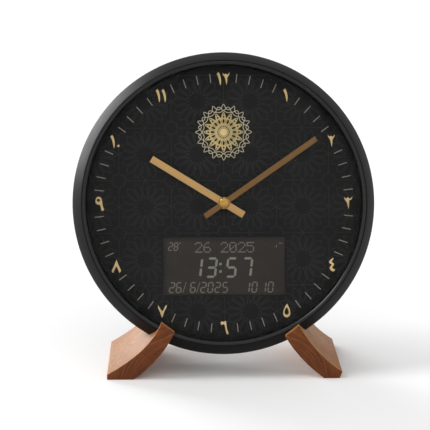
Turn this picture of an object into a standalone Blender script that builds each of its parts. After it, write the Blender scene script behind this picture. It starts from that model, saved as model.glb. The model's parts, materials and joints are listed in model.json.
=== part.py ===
"""Leaning desk clock with a digital display, a quartz movement and two wooden feet.

Everything but the feet is built in the face frame: x to the right, z up the dial and y to the rear, with
the origin where the hand shaft passes the front of the dial. The frame leans back on the feet.
"""

import math

import bmesh
import bpy
from mathutils import Matrix, Vector

# General
CLEAR = 0.0003  # gap between pieces that touch
OVERRUN = 0.001  # how far a cutter passes the face that it cuts
WELD = 0.000001
RIM_STEPS = 60
DISC_STEPS = 24
PIN_STEPS = 12
DOME_STEPS = 5

# Case: a round tub that flares from its front edge to its widest part
CASE_RADIUS = 0.125
CASE_BACK = 0.034  # rear edge behind the dial
CASE_WALL = 0.003
CASE_ROUND = 0.001
FLARE_SPREAD = 0.0086  # how far the widest part stands out past the front edge
FLARE_LENGTH = 0.0212
FACE_RISE = 0.0132  # front edge in front of the dial
FACE_LIP = 0.0004  # width of the front edge
SEAT_WIDTH = 0.0034  # seat of the lens, across
LENS_SEAT = 0.0098  # seat of the lens in front of the dial
SEAT_THICK = 0.002
THROAT_WALL = 0.002
REBATE_WALL = 0.0016  # case wall round the rear cover
SCREW_INSET = 0.009  # screws inside the widest part
BOSS_RADIUS = 0.0026
BOSS_LENGTH = 0.006
SCREW_ANGLES = [math.radians(45.0 + 90.0 * quarter) for quarter in range(4)]
FACE_RADIUS = CASE_RADIUS - FLARE_SPREAD
POCKET_RADIUS = FACE_RADIUS - FACE_LIP  # pocket for the lens and its ring
OPENING_RADIUS = POCKET_RADIUS - SEAT_WIDTH
REBATE_RADIUS = CASE_RADIUS - REBATE_WALL  # seat of the rear cover
SCREW_CIRCLE = CASE_RADIUS - SCREW_INSET

# Stance
LEAN = math.radians(13.0)
DIAL_HEIGHT_SHARE = 1.104  # hand shaft above the table, of the case's radius
DIAL_HEIGHT = CASE_RADIUS * DIAL_HEIGHT_SHARE

# Lens and the ring that holds it
LENS_THICK = 0.002
RING_FOOT = 0.0006
RING_HEIGHT = 0.0015
RING_LAND = 0.0003
RING_GROOVE = 0.0011  # groove between the ring and the front edge
RING_REVEAL = 0.0004  # ring outside the opening
RING_RADIUS = POCKET_RADIUS - RING_GROOVE
RING_BORE = OPENING_RADIUS + RING_REVEAL

# Dial plate and the frame behind it
DIAL_INSET = 0.0005  # dial edge inside the screw circle
DIAL_THICK = 0.0012
WINDOW_WIDTH_SHARE = 0.804  # of the case's radius
WINDOW_HEIGHT_SHARE = 0.3816
WINDOW_ROUND = 0.0008
WINDOW_GAP = 0.00235  # between the movement and the display's frame
CHASSIS_THICK = 0.002
CHASSIS_RIB_WIDTH = 0.0016
CHASSIS_RIB_HEIGHT = 0.0045
CHASSIS_RING_INSET = 0.006
RIB_ANGLES = [math.radians(angle) for angle in (15.0, 45.0, 75.0, 105.0, 135.0, 165.0)]
DIAL_RADIUS = SCREW_CIRCLE - DIAL_INSET
WINDOW_WIDTH = CASE_RADIUS * WINDOW_WIDTH_SHARE
WINDOW_HEIGHT = CASE_RADIUS * WINDOW_HEIGHT_SHARE
CHASSIS_RING_RADIUS = DIAL_RADIUS - CHASSIS_RING_INSET

# Liquid crystal display
LCD_MARGIN = 0.0018
LCD_THICK = 0.0022
LCD_FRAME_WALL = 0.0026
LCD_FRAME_DEPTH = 0.0058
LCD_FRAME_LIP = 0.0045
ZEBRA_WIDTH = 0.0024
BOARD_SIDE_MARGIN = 0.00105  # board past the display's frame
BOARD_TOP_MARGIN = 0.00045
BOARD_THICK = 0.0016
CHIP_SIDE = 0.014
CHIP_HEIGHT = 0.0022
SOUND_CHIP_WIDTH = 0.018
SOUND_CHIP_HEIGHT = 0.0075
CHIP_SPREAD = 0.024  # chip centres beside the board's centre
LCD_FRAME_BORDER = LCD_MARGIN + CLEAR + LCD_FRAME_WALL
LCD_FRAME_WIDTH = WINDOW_WIDTH + 2 * LCD_FRAME_BORDER
LCD_FRAME_HEIGHT = WINDOW_HEIGHT + 2 * LCD_FRAME_BORDER
BOARD_WIDTH = LCD_FRAME_WIDTH + 2 * BOARD_SIDE_MARGIN
BOARD_HEIGHT = LCD_FRAME_HEIGHT + 2 * BOARD_TOP_MARGIN

# Hands
HAND_THICK = 0.0005
HOUR_TIP_GAP = 0.043  # between the hand's tip and the edge of the opening
HOUR_TAIL = 0.0188
HOUR_WIDTH = 0.0057
HOUR_RISE = 0.0044  # middle of the hand in front of the dial
HOUR_ANGLE = math.radians(-58.5)  # clockwise from twelve
MINUTE_TIP_GAP = 0.0205
MINUTE_TAIL = 0.0192
MINUTE_WIDTH = 0.0046
MINUTE_RISE = 0.0061
MINUTE_ANGLE = math.radians(55.3)
HUB_RADIUS = 0.0042
CAP_RADIUS = 0.0048
CAP_HEIGHT = 0.0023
CAP_COLLAR = 0.0005
HOUR_LENGTH = OPENING_RADIUS - HOUR_TIP_GAP
MINUTE_LENGTH = OPENING_RADIUS - MINUTE_TIP_GAP

# Shafts through the dial
ARBOR_RADIUS = 0.0012
TUBE_RADIUS = 0.0021
TUBE_BORE = 0.0015
BUSH_RADIUS = 0.0032
BUSH_BORE = 0.0024
BUSH_RISE = 0.0032  # bush end in front of the dial
NUT_RADIUS = 0.0046
NUT_THICK = 0.0018
NUT_SLOT = 0.0011
WASHER_THICK = 0.0005

# Motion work: tooth counts that gear the hour hand down twelve times
GEAR_CENTRES = 0.0072
CANNON_TEETH = 12
MINUTE_WHEEL_TEETH = 36
MINUTE_PINION_TEETH = 10
HOUR_WHEEL_TEETH = 40
ADDENDUM_SHARE = 0.70  # of the module
DEDENDUM_SHARE = 1.10
TIP_WIDTH_SHARE = 0.20  # tooth width at its tip, of the pitch
ROOT_WIDTH_SHARE = 0.52
WHEEL_THICK = 0.0012
PINION_LENGTH = 0.0018
WHEEL_GAP = 0.0006
PIVOT_RADIUS = 0.0006
SETTING_DROP = GEAR_CENTRES * 2

# AA cells
CELL_RADIUS = 0.0071
CELL_LENGTH = 0.0505
CELL_NUB_RADIUS = 0.0026
CELL_NUB = 0.0012
CELL_ROUND = 0.0006
CELL_ROOM = 0.0004
BED_RADIUS = CELL_RADIUS + CELL_ROOM

# Quartz movement: the wheels and the motor in a gearbox, with a cell in a bed above it
MOVEMENT_WALL = 0.002
MOVEMENT_FLOOR = 0.0016
MOVEMENT_CORNER = 0.003
MOVEMENT_LID = 0.0015
GEARBOX_ROOM = 0.0046  # gearbox below the setting shaft
BED_WALL = 0.003  # between the gearbox and the cell's bed
BED_RIM = 0.001  # above the bed
BED_FLOOR = 0.0015
BED_END = 0.00175  # past each end of the cell
COIL_RADIUS = 0.0032
COIL_LENGTH = 0.018
STATOR_THICK = 0.0008
STATOR_BAR = 0.0018
STATOR_LEG = 0.0066
STATOR_SHORT_LEG = 0.0035
STATOR_ROOM = 0.0012  # above the stator
STATOR_MARGIN = 0.0007  # beside the stator
STATOR_HOOK = 0.011  # how far the long leg reaches past the coil's middle
ROTOR_SHIFT = 0.007  # rotor beside the coil
ROTOR_RADIUS = 0.0019
ROTOR_LENGTH = 0.0028
MOTOR_DEPTH = 0.0072  # motor plane behind the gearbox floor
GEARBOX_LOW = SETTING_DROP + GEARBOX_ROOM  # below the hand shaft
GEARBOX_HIGH = COIL_LENGTH / 2 + CLEAR + STATOR_SHORT_LEG + STATOR_ROOM  # above the hand shaft
MOVEMENT_LOW = GEARBOX_LOW + MOVEMENT_WALL
MOVEMENT_HIGH = GEARBOX_HIGH + BED_WALL + 2 * BED_RADIUS + BED_RIM
MOVEMENT_WIDTH = CELL_LENGTH + 2 * BED_END
MOVEMENT_HEIGHT = MOVEMENT_LOW + MOVEMENT_HIGH
MOVEMENT_RISE = (MOVEMENT_HIGH - MOVEMENT_LOW) / 2  # housing centre above the hand shaft
MOVEMENT_DEPTH = 2 * BED_RADIUS + BED_FLOOR
MOVEMENT_CELL_RISE = MOVEMENT_HIGH - BED_RIM - BED_RADIUS
GEARBOX_HEIGHT = GEARBOX_LOW + GEARBOX_HIGH
GEARBOX_RISE = (GEARBOX_HIGH - GEARBOX_LOW) / 2
BAR_RIGHT = MOVEMENT_WIDTH / 2 - MOVEMENT_WALL - STATOR_MARGIN
BAR_LEFT = BAR_RIGHT - STATOR_BAR
COIL_OFFSET = BAR_LEFT - CLEAR - COIL_RADIUS
ROTOR_OFFSET = COIL_OFFSET - ROTOR_SHIFT
STATOR_REACH = COIL_OFFSET - STATOR_HOOK
WINDOW_DROP = MOVEMENT_LOW + WINDOW_GAP + LCD_FRAME_HEIGHT / 2  # window centre below the hand shaft

# Knob that sets the time
KNOB_RADIUS = 0.0065
KNOB_HEIGHT = 0.004
KNOB_RIBS = 18
KNOB_RIB_HEIGHT = 0.0004
KNOB_SHAFT_RADIUS = 0.0012

# Rear cover
COVER_THICK = 0.0025
COVER_EDGE = 0.0008
POST_RADIUS = 0.0027
WELL_GAP = 0.001  # round the movement
WELL_WALL = 0.0016
WELL_BOARD_GAP = 0.0028  # between the main board and the well
HANGER_RISE_SHARE = 0.876  # keyhole above the hand shaft, of the case's radius
HANGER_HEAD = 0.0045
HANGER_NECK = 0.0022
HANGER_TRAVEL = 0.007
WELL_WIDTH = MOVEMENT_WIDTH + 2 * WELL_GAP
WELL_HEIGHT = MOVEMENT_HEIGHT + 2 * WELL_GAP
HANGER_RISE = CASE_RADIUS * HANGER_RISE_SHARE

# Battery bay
BAY_CELLS = 3
CELL_SPACING = 0.0008  # between cells
SPRING_ROOM = 0.0035  # past each end of a cell
BAY_WALL = 0.0016
BAY_COVER_GAP = 0.0038  # room over the cells up to the rear face
BAY_GAP = 0.0146  # between the well and the door's rails
CONTACT_THICK = 0.0005
CONTACT_RADIUS = 0.003
DOOR_MARGIN = 0.0022
DOOR_THICK = 0.0016
RAIL_WIDTH = 0.0025
RAIL_LIP = 0.0015
RAIL_ROOF = 0.0014
GRIP_RIBS = 5
GRIP_RIB = 0.0010
GRIP_PITCH = 0.0026
GRIP_LENGTH = 0.020
CELL_PITCH = 2 * CELL_RADIUS + CELL_SPACING
BAY_WIDTH = CELL_LENGTH + 2 * SPRING_ROOM
BAY_HEIGHT = BAY_CELLS * CELL_PITCH + 2 * CLEAR
BAY_FLOOR = CASE_BACK - 2 * CELL_RADIUS - BAY_COVER_GAP  # bay floor behind the dial
DOOR_WIDTH = BAY_WIDTH + 2 * DOOR_MARGIN
DOOR_HEIGHT = BAY_HEIGHT + 2 * DOOR_MARGIN
BAY_DROP = MOVEMENT_LOW + WELL_GAP + WELL_WALL + BAY_GAP + RAIL_WIDTH + CLEAR + DOOR_HEIGHT / 2

# Loudspeaker, under the keyhole
HANGER_GAP = 0.0025
SPEAKER_FLANGE = 0.001
SPEAKER_WALL = 0.0009
SPEAKER_DEPTH = 0.0095
CONE_THICK = 0.0008
CONE_DEPTH = 0.0060
DUST_CAP_RISE = 0.0022
MAGNET_HEIGHT = 0.007
GRILLE_SLOT = 0.0025
GRILLE_PITCH = 0.0052
SLOT_END_STEPS = 3
SPEAKER_SHARES = {  # radii, of the case's radius
    "edge": 0.228,
    "cone": 0.2,
    "grille": 0.188,
    "back": 0.14,
    "magnet": 0.124,
    "dust_cap": 0.056,
}
SPEAKER_RADIUS = CASE_RADIUS * SPEAKER_SHARES["edge"]
CONE_RADIUS = CASE_RADIUS * SPEAKER_SHARES["cone"]
GRILLE_RADIUS = CASE_RADIUS * SPEAKER_SHARES["grille"]
SPEAKER_BACK_RADIUS = CASE_RADIUS * SPEAKER_SHARES["back"]
MAGNET_RADIUS = CASE_RADIUS * SPEAKER_SHARES["magnet"]
DUST_CAP_RADIUS = CASE_RADIUS * SPEAKER_SHARES["dust_cap"]
SPEAKER_RISE = HANGER_RISE - HANGER_HEAD - HANGER_GAP - SPEAKER_RADIUS

# Push buttons on the rear
BUTTON_COUNT = 6
BUTTON_OFFSET = 0.072  # column of buttons beside the shaft
BUTTON_PITCH = 0.013
BUTTON_RADIUS = 0.0034
BUTTON_RISE = 0.0016  # cap proud of the rear face
BUTTON_ROUND = 0.0006
BUTTON_RIM = 0.0012  # flange past the cap
BUTTON_FLANGE_THICK = 0.001
BUTTON_STEM_RADIUS = 0.0015
BUTTON_STEM = 0.0017
BUTTON_TRAVEL = 0.001
SWITCH_SIDE = 0.006
SWITCH_HEIGHT = 0.0035
SWITCH_SINK = 0.0004
KEY_BOARD_WIDTH = 0.013
KEY_BOARD_END = 0.016  # board past the last button
BUTTON_FLANGE = BUTTON_RADIUS + BUTTON_RIM

# Case screws
SCREW_RADIUS = 0.0013
SCREW_HEAD = 0.0025
SCREW_HEAD_HEIGHT = 0.0015
SCREW_SINK = 0.0018
SCREW_BITE = 0.0045  # depth in the case boss

# Feet: boards sawn to a curve, each from its own outline
FOOT_FRONT_SHARE = 0.328  # front of the feet before the hand shaft, of the case's radius
FOOT_DEPTH = 0.090
FOOT_ARRIS = 0.0006
FOOT_CURVE_STEPS = 10
FOOT_FRONT = CASE_RADIUS * FOOT_FRONT_SHARE
LEFT_FOOT_SHARES = {  # of the case's radius
    "tip": (0.4128, 0.38),
    "outer": (0.5448, 0.1976),
    "toe": (0.7712, 0.0352),
    "sole": (0.7712, 0.0),
    "heel": (0.6, 0.0),
    "inner": (0.44, 0.1424),
    "crown": (0.328, 0.32),
}
RIGHT_FOOT_SHARES = {
    "tip": (0.48, 0.36),
    "outer": (0.6152, 0.1736),
    "toe": (0.768, 0.044),
    "sole": (0.7496, 0.0),
    "heel": (0.648, 0.0),
    "inner": (0.5, 0.1352),
    "crown": (0.3896, 0.288),
}

# Places along the face frame's y axis, worked out from the front to the rear
LENS_BACK = -LENS_SEAT - CLEAR
LENS_FRONT = LENS_BACK - LENS_THICK
RING_BACK = LENS_FRONT - CLEAR
RING_FRONT = RING_BACK - RING_HEIGHT
WIDEST = FLARE_LENGTH - FACE_RISE
CHASSIS_FRONT = DIAL_THICK + CLEAR
CHASSIS_REAR = CHASSIS_FRONT + CHASSIS_THICK
LCD_FRONT = DIAL_THICK + CLEAR
LCD_REAR = LCD_FRONT + LCD_THICK
BOARD_FRONT = LCD_FRONT + LCD_FRAME_DEPTH + CLEAR
BOARD_REAR = BOARD_FRONT + BOARD_THICK
WELL_FRONT = BOARD_REAR + WELL_BOARD_GAP
MOVEMENT_FRONT = CHASSIS_REAR + CLEAR
MOVEMENT_BACK = MOVEMENT_FRONT + MOVEMENT_DEPTH
GEARBOX_FLOOR = MOVEMENT_FRONT + MOVEMENT_FLOOR
LID_FRONT = MOVEMENT_BACK - MOVEMENT_LID
HOUR_WHEEL_FRONT = GEARBOX_FLOOR + CLEAR
MINUTE_WHEEL_FRONT = HOUR_WHEEL_FRONT + WHEEL_THICK + WHEEL_GAP
COVER_REAR = CASE_BACK
COVER_FRONT = COVER_REAR - COVER_THICK
DOOR_FRONT = COVER_REAR + CLEAR
DOOR_REAR = DOOR_FRONT + DOOR_THICK
RAIL_REAR = DOOR_REAR + CLEAR + RAIL_ROOF
BUTTON_FLANGE_REAR = COVER_FRONT - CLEAR
BUTTON_STEM_END = BUTTON_FLANGE_REAR - BUTTON_FLANGE_THICK - BUTTON_STEM
SWITCH_TOP = BUTTON_STEM_END - BUTTON_TRAVEL - CLEAR
KEY_BOARD_REAR = SWITCH_TOP - SWITCH_HEIGHT
CELL_Y = BAY_FLOOR + CLEAR + CELL_RADIUS
MOVEMENT_CELL_Y = MOVEMENT_BACK - BED_RADIUS
MINUTE_HAND_FRONT = -MINUTE_RISE - HAND_THICK / 2

# Finishes: colour, roughness, metallic
BLACK_PLASTIC = ((0.022, 0.021, 0.021), 0.45, 0.0)
DIAL_BLACK = ((0.016, 0.016, 0.016), 0.6, 0.0)
CLEAR_GLASS = ((0.9, 0.92, 0.92), 0.03, 0.0)
GREY_PLASTIC = ((0.10, 0.10, 0.10), 0.55, 0.0)
DISPLAY_GREY = ((0.045, 0.038, 0.034), 0.25, 0.0)
RUBBER = ((0.05, 0.05, 0.05), 0.85, 0.0)
BOARD_GREEN = ((0.02, 0.12, 0.05), 0.5, 0.0)
CHIP_BLACK = ((0.02, 0.02, 0.02), 0.4, 0.0)
BRASS = ((0.55, 0.38, 0.18), 0.3, 1.0)
BRONZE = ((0.30, 0.18, 0.08), 0.35, 1.0)
STEEL = ((0.6, 0.6, 0.58), 0.3, 1.0)
COPPER = ((0.55, 0.22, 0.10), 0.4, 1.0)
MAGNET_GREY = ((0.16, 0.16, 0.17), 0.6, 0.3)
CELL_SLEEVE = ((0.10, 0.16, 0.22), 0.35, 0.0)
PAPER = ((0.04, 0.04, 0.04), 0.8, 0.0)
WOOD = ((0.30, 0.12, 0.05), 0.5, 0.0)
WHITE_PLASTIC = ((0.55, 0.55, 0.52), 0.5, 0.0)


def clear_scene():
    for obj in list(bpy.data.objects):
        bpy.data.objects.remove(obj, do_unlink=True)


def principled(name, finish):
    """A material of the given colour, roughness and metallic value."""
    colour, roughness, metallic = finish
    material = bpy.data.materials.new(name)
    material.use_nodes = True
    shader = material.node_tree.nodes["Principled BSDF"]
    shader.inputs["Base Color"].default_value = (*colour, 1.0)
    shader.inputs["Roughness"].default_value = roughness
    shader.inputs["Metallic"].default_value = metallic
    return material


def circle(radius, steps, x=0.0, z=0.0):
    """Points of a circle in the face plane."""
    turns = [math.tau * step / steps for step in range(steps)]
    return [(x + radius * math.cos(turn), z + radius * math.sin(turn)) for turn in turns]


def arc(centre, radius, start, end, steps):
    """Points of an arc from one angle to another, both ends included."""
    angles = [start + (end - start) * step / steps for step in range(steps + 1)]
    return [(centre[0] + radius * math.cos(a), centre[1] + radius * math.sin(a)) for a in angles]


def rounded_box(width, height, corner, x=0.0, z=0.0, steps=3):
    """Outline of a rectangle with round corners, centred on a point."""
    points = []
    for quarter, (side, rise) in enumerate(((1, 1), (-1, 1), (-1, -1), (1, -1))):
        centre = (x + side * (width / 2 - corner), z + rise * (height / 2 - corner))
        start = math.pi / 2 * quarter
        points += arc(centre, corner, start, start + math.pi / 2, steps)
    return points


def box(left, right, low, high):
    """Outline of a plain rectangle."""
    return [(left, low), (right, low), (right, high), (left, high)]


def bowed(start, middle, end, steps):
    """Points of the smooth curve that starts, passes halfway and ends at three given points."""
    points = []
    for step in range(steps + 1):
        t = step / steps
        weights = ((1 - t) * (1 - 2 * t), 4 * t * (1 - t), t * (2 * t - 1))
        point = [sum(w * p[axis] for w, p in zip(weights, (start, middle, end))) for axis in (0, 1)]
        points.append(tuple(point))
    return points


def add_prism(shape, outline, front, rear):
    """Extrudes an outline of the face plane between two depths."""
    corners = [shape.verts.new((x, front, z)) for x, z in outline]
    face = shape.faces.new(corners)
    grown = bmesh.ops.extrude_face_region(shape, geom=[face])["geom"]
    moved = [item for item in grown if isinstance(item, bmesh.types.BMVert)]
    bmesh.ops.translate(shape, verts=moved, vec=(0.0, rear - front, 0.0))


def add_turned(shape, profile, steps, x=0.0, z=0.0):
    """Spins a closed profile of (radius, depth) points about a line parallel to y."""
    points = [shape.verts.new((x + radius, depth, z)) for radius, depth in profile]
    ends = zip(points, points[1:] + points[:1])
    edges = [shape.edges.new(pair) for pair in ends]
    on_axis = [abs(radius) < WELD for radius, depth in profile]
    spun = [e for e, a, b in zip(edges, on_axis, on_axis[1:] + on_axis[:1]) if not (a and b)]
    for edge in set(edges) - set(spun):
        shape.edges.remove(edge)
    bmesh.ops.spin(
        shape,
        geom=points + spun,
        cent=(x, 0.0, z),
        axis=(0.0, 1.0, 0.0),
        angle=math.tau,
        steps=steps,
        use_merge=True,
    )
    bmesh.ops.remove_doubles(shape, verts=shape.verts, dist=WELD)


def add_rod(shape, radius, front, rear, steps, x=0.0, z=0.0):
    add_prism(shape, circle(radius, steps, x, z), front, rear)


def finished(name, shape, finish, parent, location=(0.0, 0.0, 0.0), sharp=math.radians(30.0)):
    """Turns the mesh that was built into an object with its own material."""
    bmesh.ops.recalc_face_normals(shape, faces=shape.faces)
    mesh = bpy.data.meshes.new(name)
    shape.to_mesh(mesh)
    shape.free()
    mesh.shade_smooth()
    mesh.set_sharp_from_angle(angle=sharp)
    obj = bpy.data.objects.new(name, mesh)
    if finish:
        mesh.materials.append(principled(name, finish))
    obj.parent = parent
    obj.location = location
    bpy.context.scene.collection.objects.link(obj)
    return obj


def tool(name, shape, parent, location=(0.0, 0.0, 0.0)):
    """A helper that shapes another piece and is left out of the model."""
    obj = finished(name, shape, None, parent, location)
    obj.display_type = "WIRE"
    obj.hide_render = True
    return obj


def combine(target, helper, operation):
    modifier = target.modifiers.new(helper.name, "BOOLEAN")
    modifier.object = helper
    modifier.operation = operation
    modifier.solver = "EXACT"


def cut(target, helper):
    combine(target, helper, "DIFFERENCE")


def join(target, helper):
    combine(target, helper, "UNION")


def screw_places():
    """Centres of the four case screws."""
    return [(SCREW_CIRCLE * math.cos(a), SCREW_CIRCLE * math.sin(a)) for a in SCREW_ANGLES]


def case_outline():
    """Outer side of the case from its front edge to its rear edge."""
    corner = (CASE_RADIUS - CASE_ROUND, CASE_BACK - CASE_ROUND)
    return [
        (FACE_RADIUS, -FACE_RISE),
        (CASE_RADIUS - CASE_ROUND / 2, WIDEST - CASE_ROUND),
        (CASE_RADIUS, WIDEST + CASE_ROUND),
        *arc(corner, CASE_ROUND, 0.0, math.pi / 2, 2),
    ]


def flare_radius(depth):
    """Outer radius of the flare at a depth."""
    return FACE_RADIUS + (CASE_RADIUS - FACE_RADIUS) * (depth + FACE_RISE) / FLARE_LENGTH


def build_case(face):
    slope = math.atan2(CASE_RADIUS - FACE_RADIUS, FLARE_LENGTH)
    skin = CASE_WALL / math.cos(slope)
    inner = CASE_RADIUS - CASE_WALL
    seat_rear = SEAT_THICK - LENS_SEAT
    throat = OPENING_RADIUS + THROAT_WALL
    ledge = COVER_FRONT - CLEAR
    profile = [
        (POCKET_RADIUS, -LENS_SEAT),
        (POCKET_RADIUS, -FACE_RISE),
        *case_outline(),
        (REBATE_RADIUS, CASE_BACK),
        (REBATE_RADIUS, ledge),
        (inner, ledge),
        (inner, WIDEST + CASE_ROUND),
        (max(flare_radius(seat_rear) - skin, throat + CLEAR), seat_rear),
        (throat, seat_rear),
        (throat, -CLEAR),
        (OPENING_RADIUS, -CLEAR),
        (OPENING_RADIUS, -LENS_SEAT),
    ]
    shape = bmesh.new()
    add_turned(shape, profile, RIM_STEPS)
    case = finished("case_tub", shape, BLACK_PLASTIC, face)
    bosses = bmesh.new()
    holes = bmesh.new()
    boss_rear = CHASSIS_FRONT - CLEAR
    boss_front = boss_rear - BOSS_LENGTH
    bore = SCREW_RADIUS + CLEAR
    for x, z in screw_places():
        add_rod(bosses, BOSS_RADIUS, boss_front, boss_rear, PIN_STEPS, x, z)
        add_rod(holes, bore, boss_front + CLEAR, boss_rear + OVERRUN, PIN_STEPS, x, z)
    join(case, tool("case_bosses", bosses, face))
    cut(case, tool("case_boss_holes", holes, face))


def build_lens(face):
    shape = bmesh.new()
    add_rod(shape, POCKET_RADIUS - CLEAR, LENS_FRONT, LENS_BACK, RIM_STEPS)
    finished("front_lens", shape, CLEAR_GLASS, face)
    outer = POCKET_RADIUS - CLEAR
    shape = bmesh.new()
    profile = [
        (RING_BORE, RING_BACK),
        (RING_BORE, RING_BACK - RING_LAND),
        (RING_RADIUS - RING_LAND, RING_FRONT),
        (RING_RADIUS, RING_FRONT + RING_LAND),
        (RING_RADIUS, RING_BACK - RING_FOOT),
        (outer, RING_BACK - RING_FOOT),
        (outer, RING_BACK),
    ]
    add_turned(shape, profile, RIM_STEPS)
    finished("lens_ring", shape, BLACK_PLASTIC, face)


def build_dial(face):
    shape = bmesh.new()
    add_rod(shape, DIAL_RADIUS, 0.0, DIAL_THICK, RIM_STEPS)
    dial = finished("dial_plate", shape, DIAL_BLACK, face)
    cuts = bmesh.new()
    window = rounded_box(WINDOW_WIDTH, WINDOW_HEIGHT, WINDOW_ROUND, 0.0, -WINDOW_DROP)
    add_prism(cuts, window, -OVERRUN, DIAL_THICK + OVERRUN)
    add_rod(cuts, BUSH_RADIUS + CLEAR, -OVERRUN, DIAL_THICK + OVERRUN, DISC_STEPS)
    for x, z in screw_places():
        add_rod(cuts, BOSS_RADIUS + CLEAR, -OVERRUN, DIAL_THICK + OVERRUN, PIN_STEPS, x, z)
    cut(dial, tool("dial_cuts", cuts, face))


def build_chassis(face):
    """The ribbed plate that carries the movement and the display, with four ears under the case screws."""
    shape = bmesh.new()
    add_rod(shape, DIAL_RADIUS, CHASSIS_FRONT, CHASSIS_REAR, RIM_STEPS)
    chassis = finished("chassis_plate", shape, GREY_PLASTIC, face)
    additions = bmesh.new()
    rib_rear = CHASSIS_REAR + CHASSIS_RIB_HEIGHT
    ring = [
        (CHASSIS_RING_RADIUS, CHASSIS_REAR - CHASSIS_THICK / 2),
        (CHASSIS_RING_RADIUS, rib_rear),
        (CHASSIS_RING_RADIUS - CHASSIS_RIB_WIDTH, rib_rear),
        (CHASSIS_RING_RADIUS - CHASSIS_RIB_WIDTH, CHASSIS_REAR - CHASSIS_THICK / 2),
    ]
    add_turned(additions, ring, RIM_STEPS // 2)
    join(chassis, tool("chassis_ring_rib", additions, face))
    ribs = bmesh.new()
    start = math.hypot(MOVEMENT_WIDTH / 2, MOVEMENT_HIGH) + CHASSIS_RIB_WIDTH
    for angle in RIB_ANGLES:
        along = Vector((math.cos(angle), math.sin(angle)))
        aside = Vector((-along.y, along.x)) * (CHASSIS_RIB_WIDTH / 2)
        near = along * start
        far = along * (CHASSIS_RING_RADIUS - CHASSIS_RIB_WIDTH / 2)
        outline = [tuple(p) for p in (near - aside, far - aside, far + aside, near + aside)]
        add_prism(ribs, outline, CHASSIS_REAR - CHASSIS_THICK / 2, rib_rear)
    join(chassis, tool("chassis_ribs", ribs, face))
    ears = bmesh.new()
    cuts = bmesh.new()
    cut_front = CHASSIS_FRONT - OVERRUN
    cut_rear = CHASSIS_REAR + OVERRUN
    for x, z in screw_places():
        add_rod(ears, BOSS_RADIUS, CHASSIS_FRONT, CHASSIS_REAR, PIN_STEPS, x, z)
        add_rod(cuts, SCREW_RADIUS + CLEAR, cut_front, cut_rear, PIN_STEPS, x, z)
    join(chassis, tool("chassis_ears", ears, face))
    room = (LCD_FRAME_WIDTH + 2 * CLEAR, LCD_FRAME_HEIGHT + 2 * CLEAR)
    add_prism(cuts, rounded_box(*room, WINDOW_ROUND, 0.0, -WINDOW_DROP), cut_front, rib_rear + OVERRUN)
    add_rod(cuts, BUSH_RADIUS + CLEAR, cut_front, cut_rear, DISC_STEPS)
    cut(chassis, tool("chassis_cuts", cuts, face))


def build_display(face):
    middle = (0.0, -WINDOW_DROP)
    panel = (WINDOW_WIDTH + 2 * LCD_MARGIN, WINDOW_HEIGHT + 2 * LCD_MARGIN)
    seat = (panel[0] + 2 * CLEAR, panel[1] + 2 * CLEAR)
    hole = (panel[0] - 2 * LCD_FRAME_LIP, panel[1] - 2 * LCD_FRAME_LIP)
    rear = LCD_FRONT + LCD_FRAME_DEPTH
    shape = bmesh.new()
    add_prism(shape, rounded_box(*panel, WINDOW_ROUND, *middle), LCD_FRONT, LCD_REAR)
    finished("lcd_panel", shape, DISPLAY_GREY, face)

    shape = bmesh.new()
    frame_outline = rounded_box(LCD_FRAME_WIDTH, LCD_FRAME_HEIGHT, WINDOW_ROUND, *middle)
    add_prism(shape, frame_outline, LCD_FRONT, rear)
    frame = finished("lcd_frame", shape, GREY_PLASTIC, face)
    pocket = bmesh.new()
    add_prism(pocket, rounded_box(*seat, WINDOW_ROUND, *middle), LCD_FRONT - OVERRUN, LCD_REAR + CLEAR)
    cut(frame, tool("lcd_frame_pocket", pocket, face))
    opening = bmesh.new()
    add_prism(opening, rounded_box(*hole, WINDOW_ROUND, *middle), LCD_FRONT, rear + OVERRUN)
    cut(frame, tool("lcd_frame_opening", opening, face))

    shape = bmesh.new()
    strip_low = -WINDOW_DROP - hole[1] / 2 + CLEAR
    strip = box(-hole[0] / 2 + CLEAR, hole[0] / 2 - CLEAR, strip_low, strip_low + ZEBRA_WIDTH)
    add_prism(shape, strip, LCD_REAR + CLEAR, BOARD_FRONT - CLEAR)
    finished("display_connector", shape, RUBBER, face)


def build_main_board(face):
    shape = bmesh.new()
    outline = rounded_box(BOARD_WIDTH, BOARD_HEIGHT, CLEAR, 0.0, -WINDOW_DROP)
    add_prism(shape, outline, BOARD_FRONT, BOARD_REAR)
    finished("main_board", shape, BOARD_GREEN, face)
    front = BOARD_REAR + CLEAR
    chips = (
        ("clock_chip", -CHIP_SPREAD, CHIP_SIDE, CHIP_SIDE),
        ("sound_chip", CHIP_SPREAD, SOUND_CHIP_WIDTH, SOUND_CHIP_HEIGHT),
    )
    for name, x, width, height in chips:
        shape = bmesh.new()
        add_prism(shape, rounded_box(width, height, CLEAR, x, -WINDOW_DROP), front, front + CHIP_HEIGHT)
        finished(name, shape, CHIP_BLACK, face)


def build_hand(name, finish, face, length, tail, width, rise, angle, bore):
    """A flat bar with square ends on a round hub, turned about the hand shaft."""
    front = -rise - HAND_THICK / 2
    shape = bmesh.new()
    add_prism(shape, box(-width / 2, width / 2, -tail, length), front, front + HAND_THICK)
    hand = finished(name, shape, finish, face)
    hand.rotation_euler = (0.0, angle, 0.0)
    hub = bmesh.new()
    add_rod(hub, HUB_RADIUS, front, front + HAND_THICK, DISC_STEPS)
    join(hand, tool(name + "_hub", hub, hand))
    hole = bmesh.new()
    add_rod(hole, bore, front - OVERRUN, front + HAND_THICK + OVERRUN, PIN_STEPS)
    cut(hand, tool(name + "_bore", hole, hand))


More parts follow.
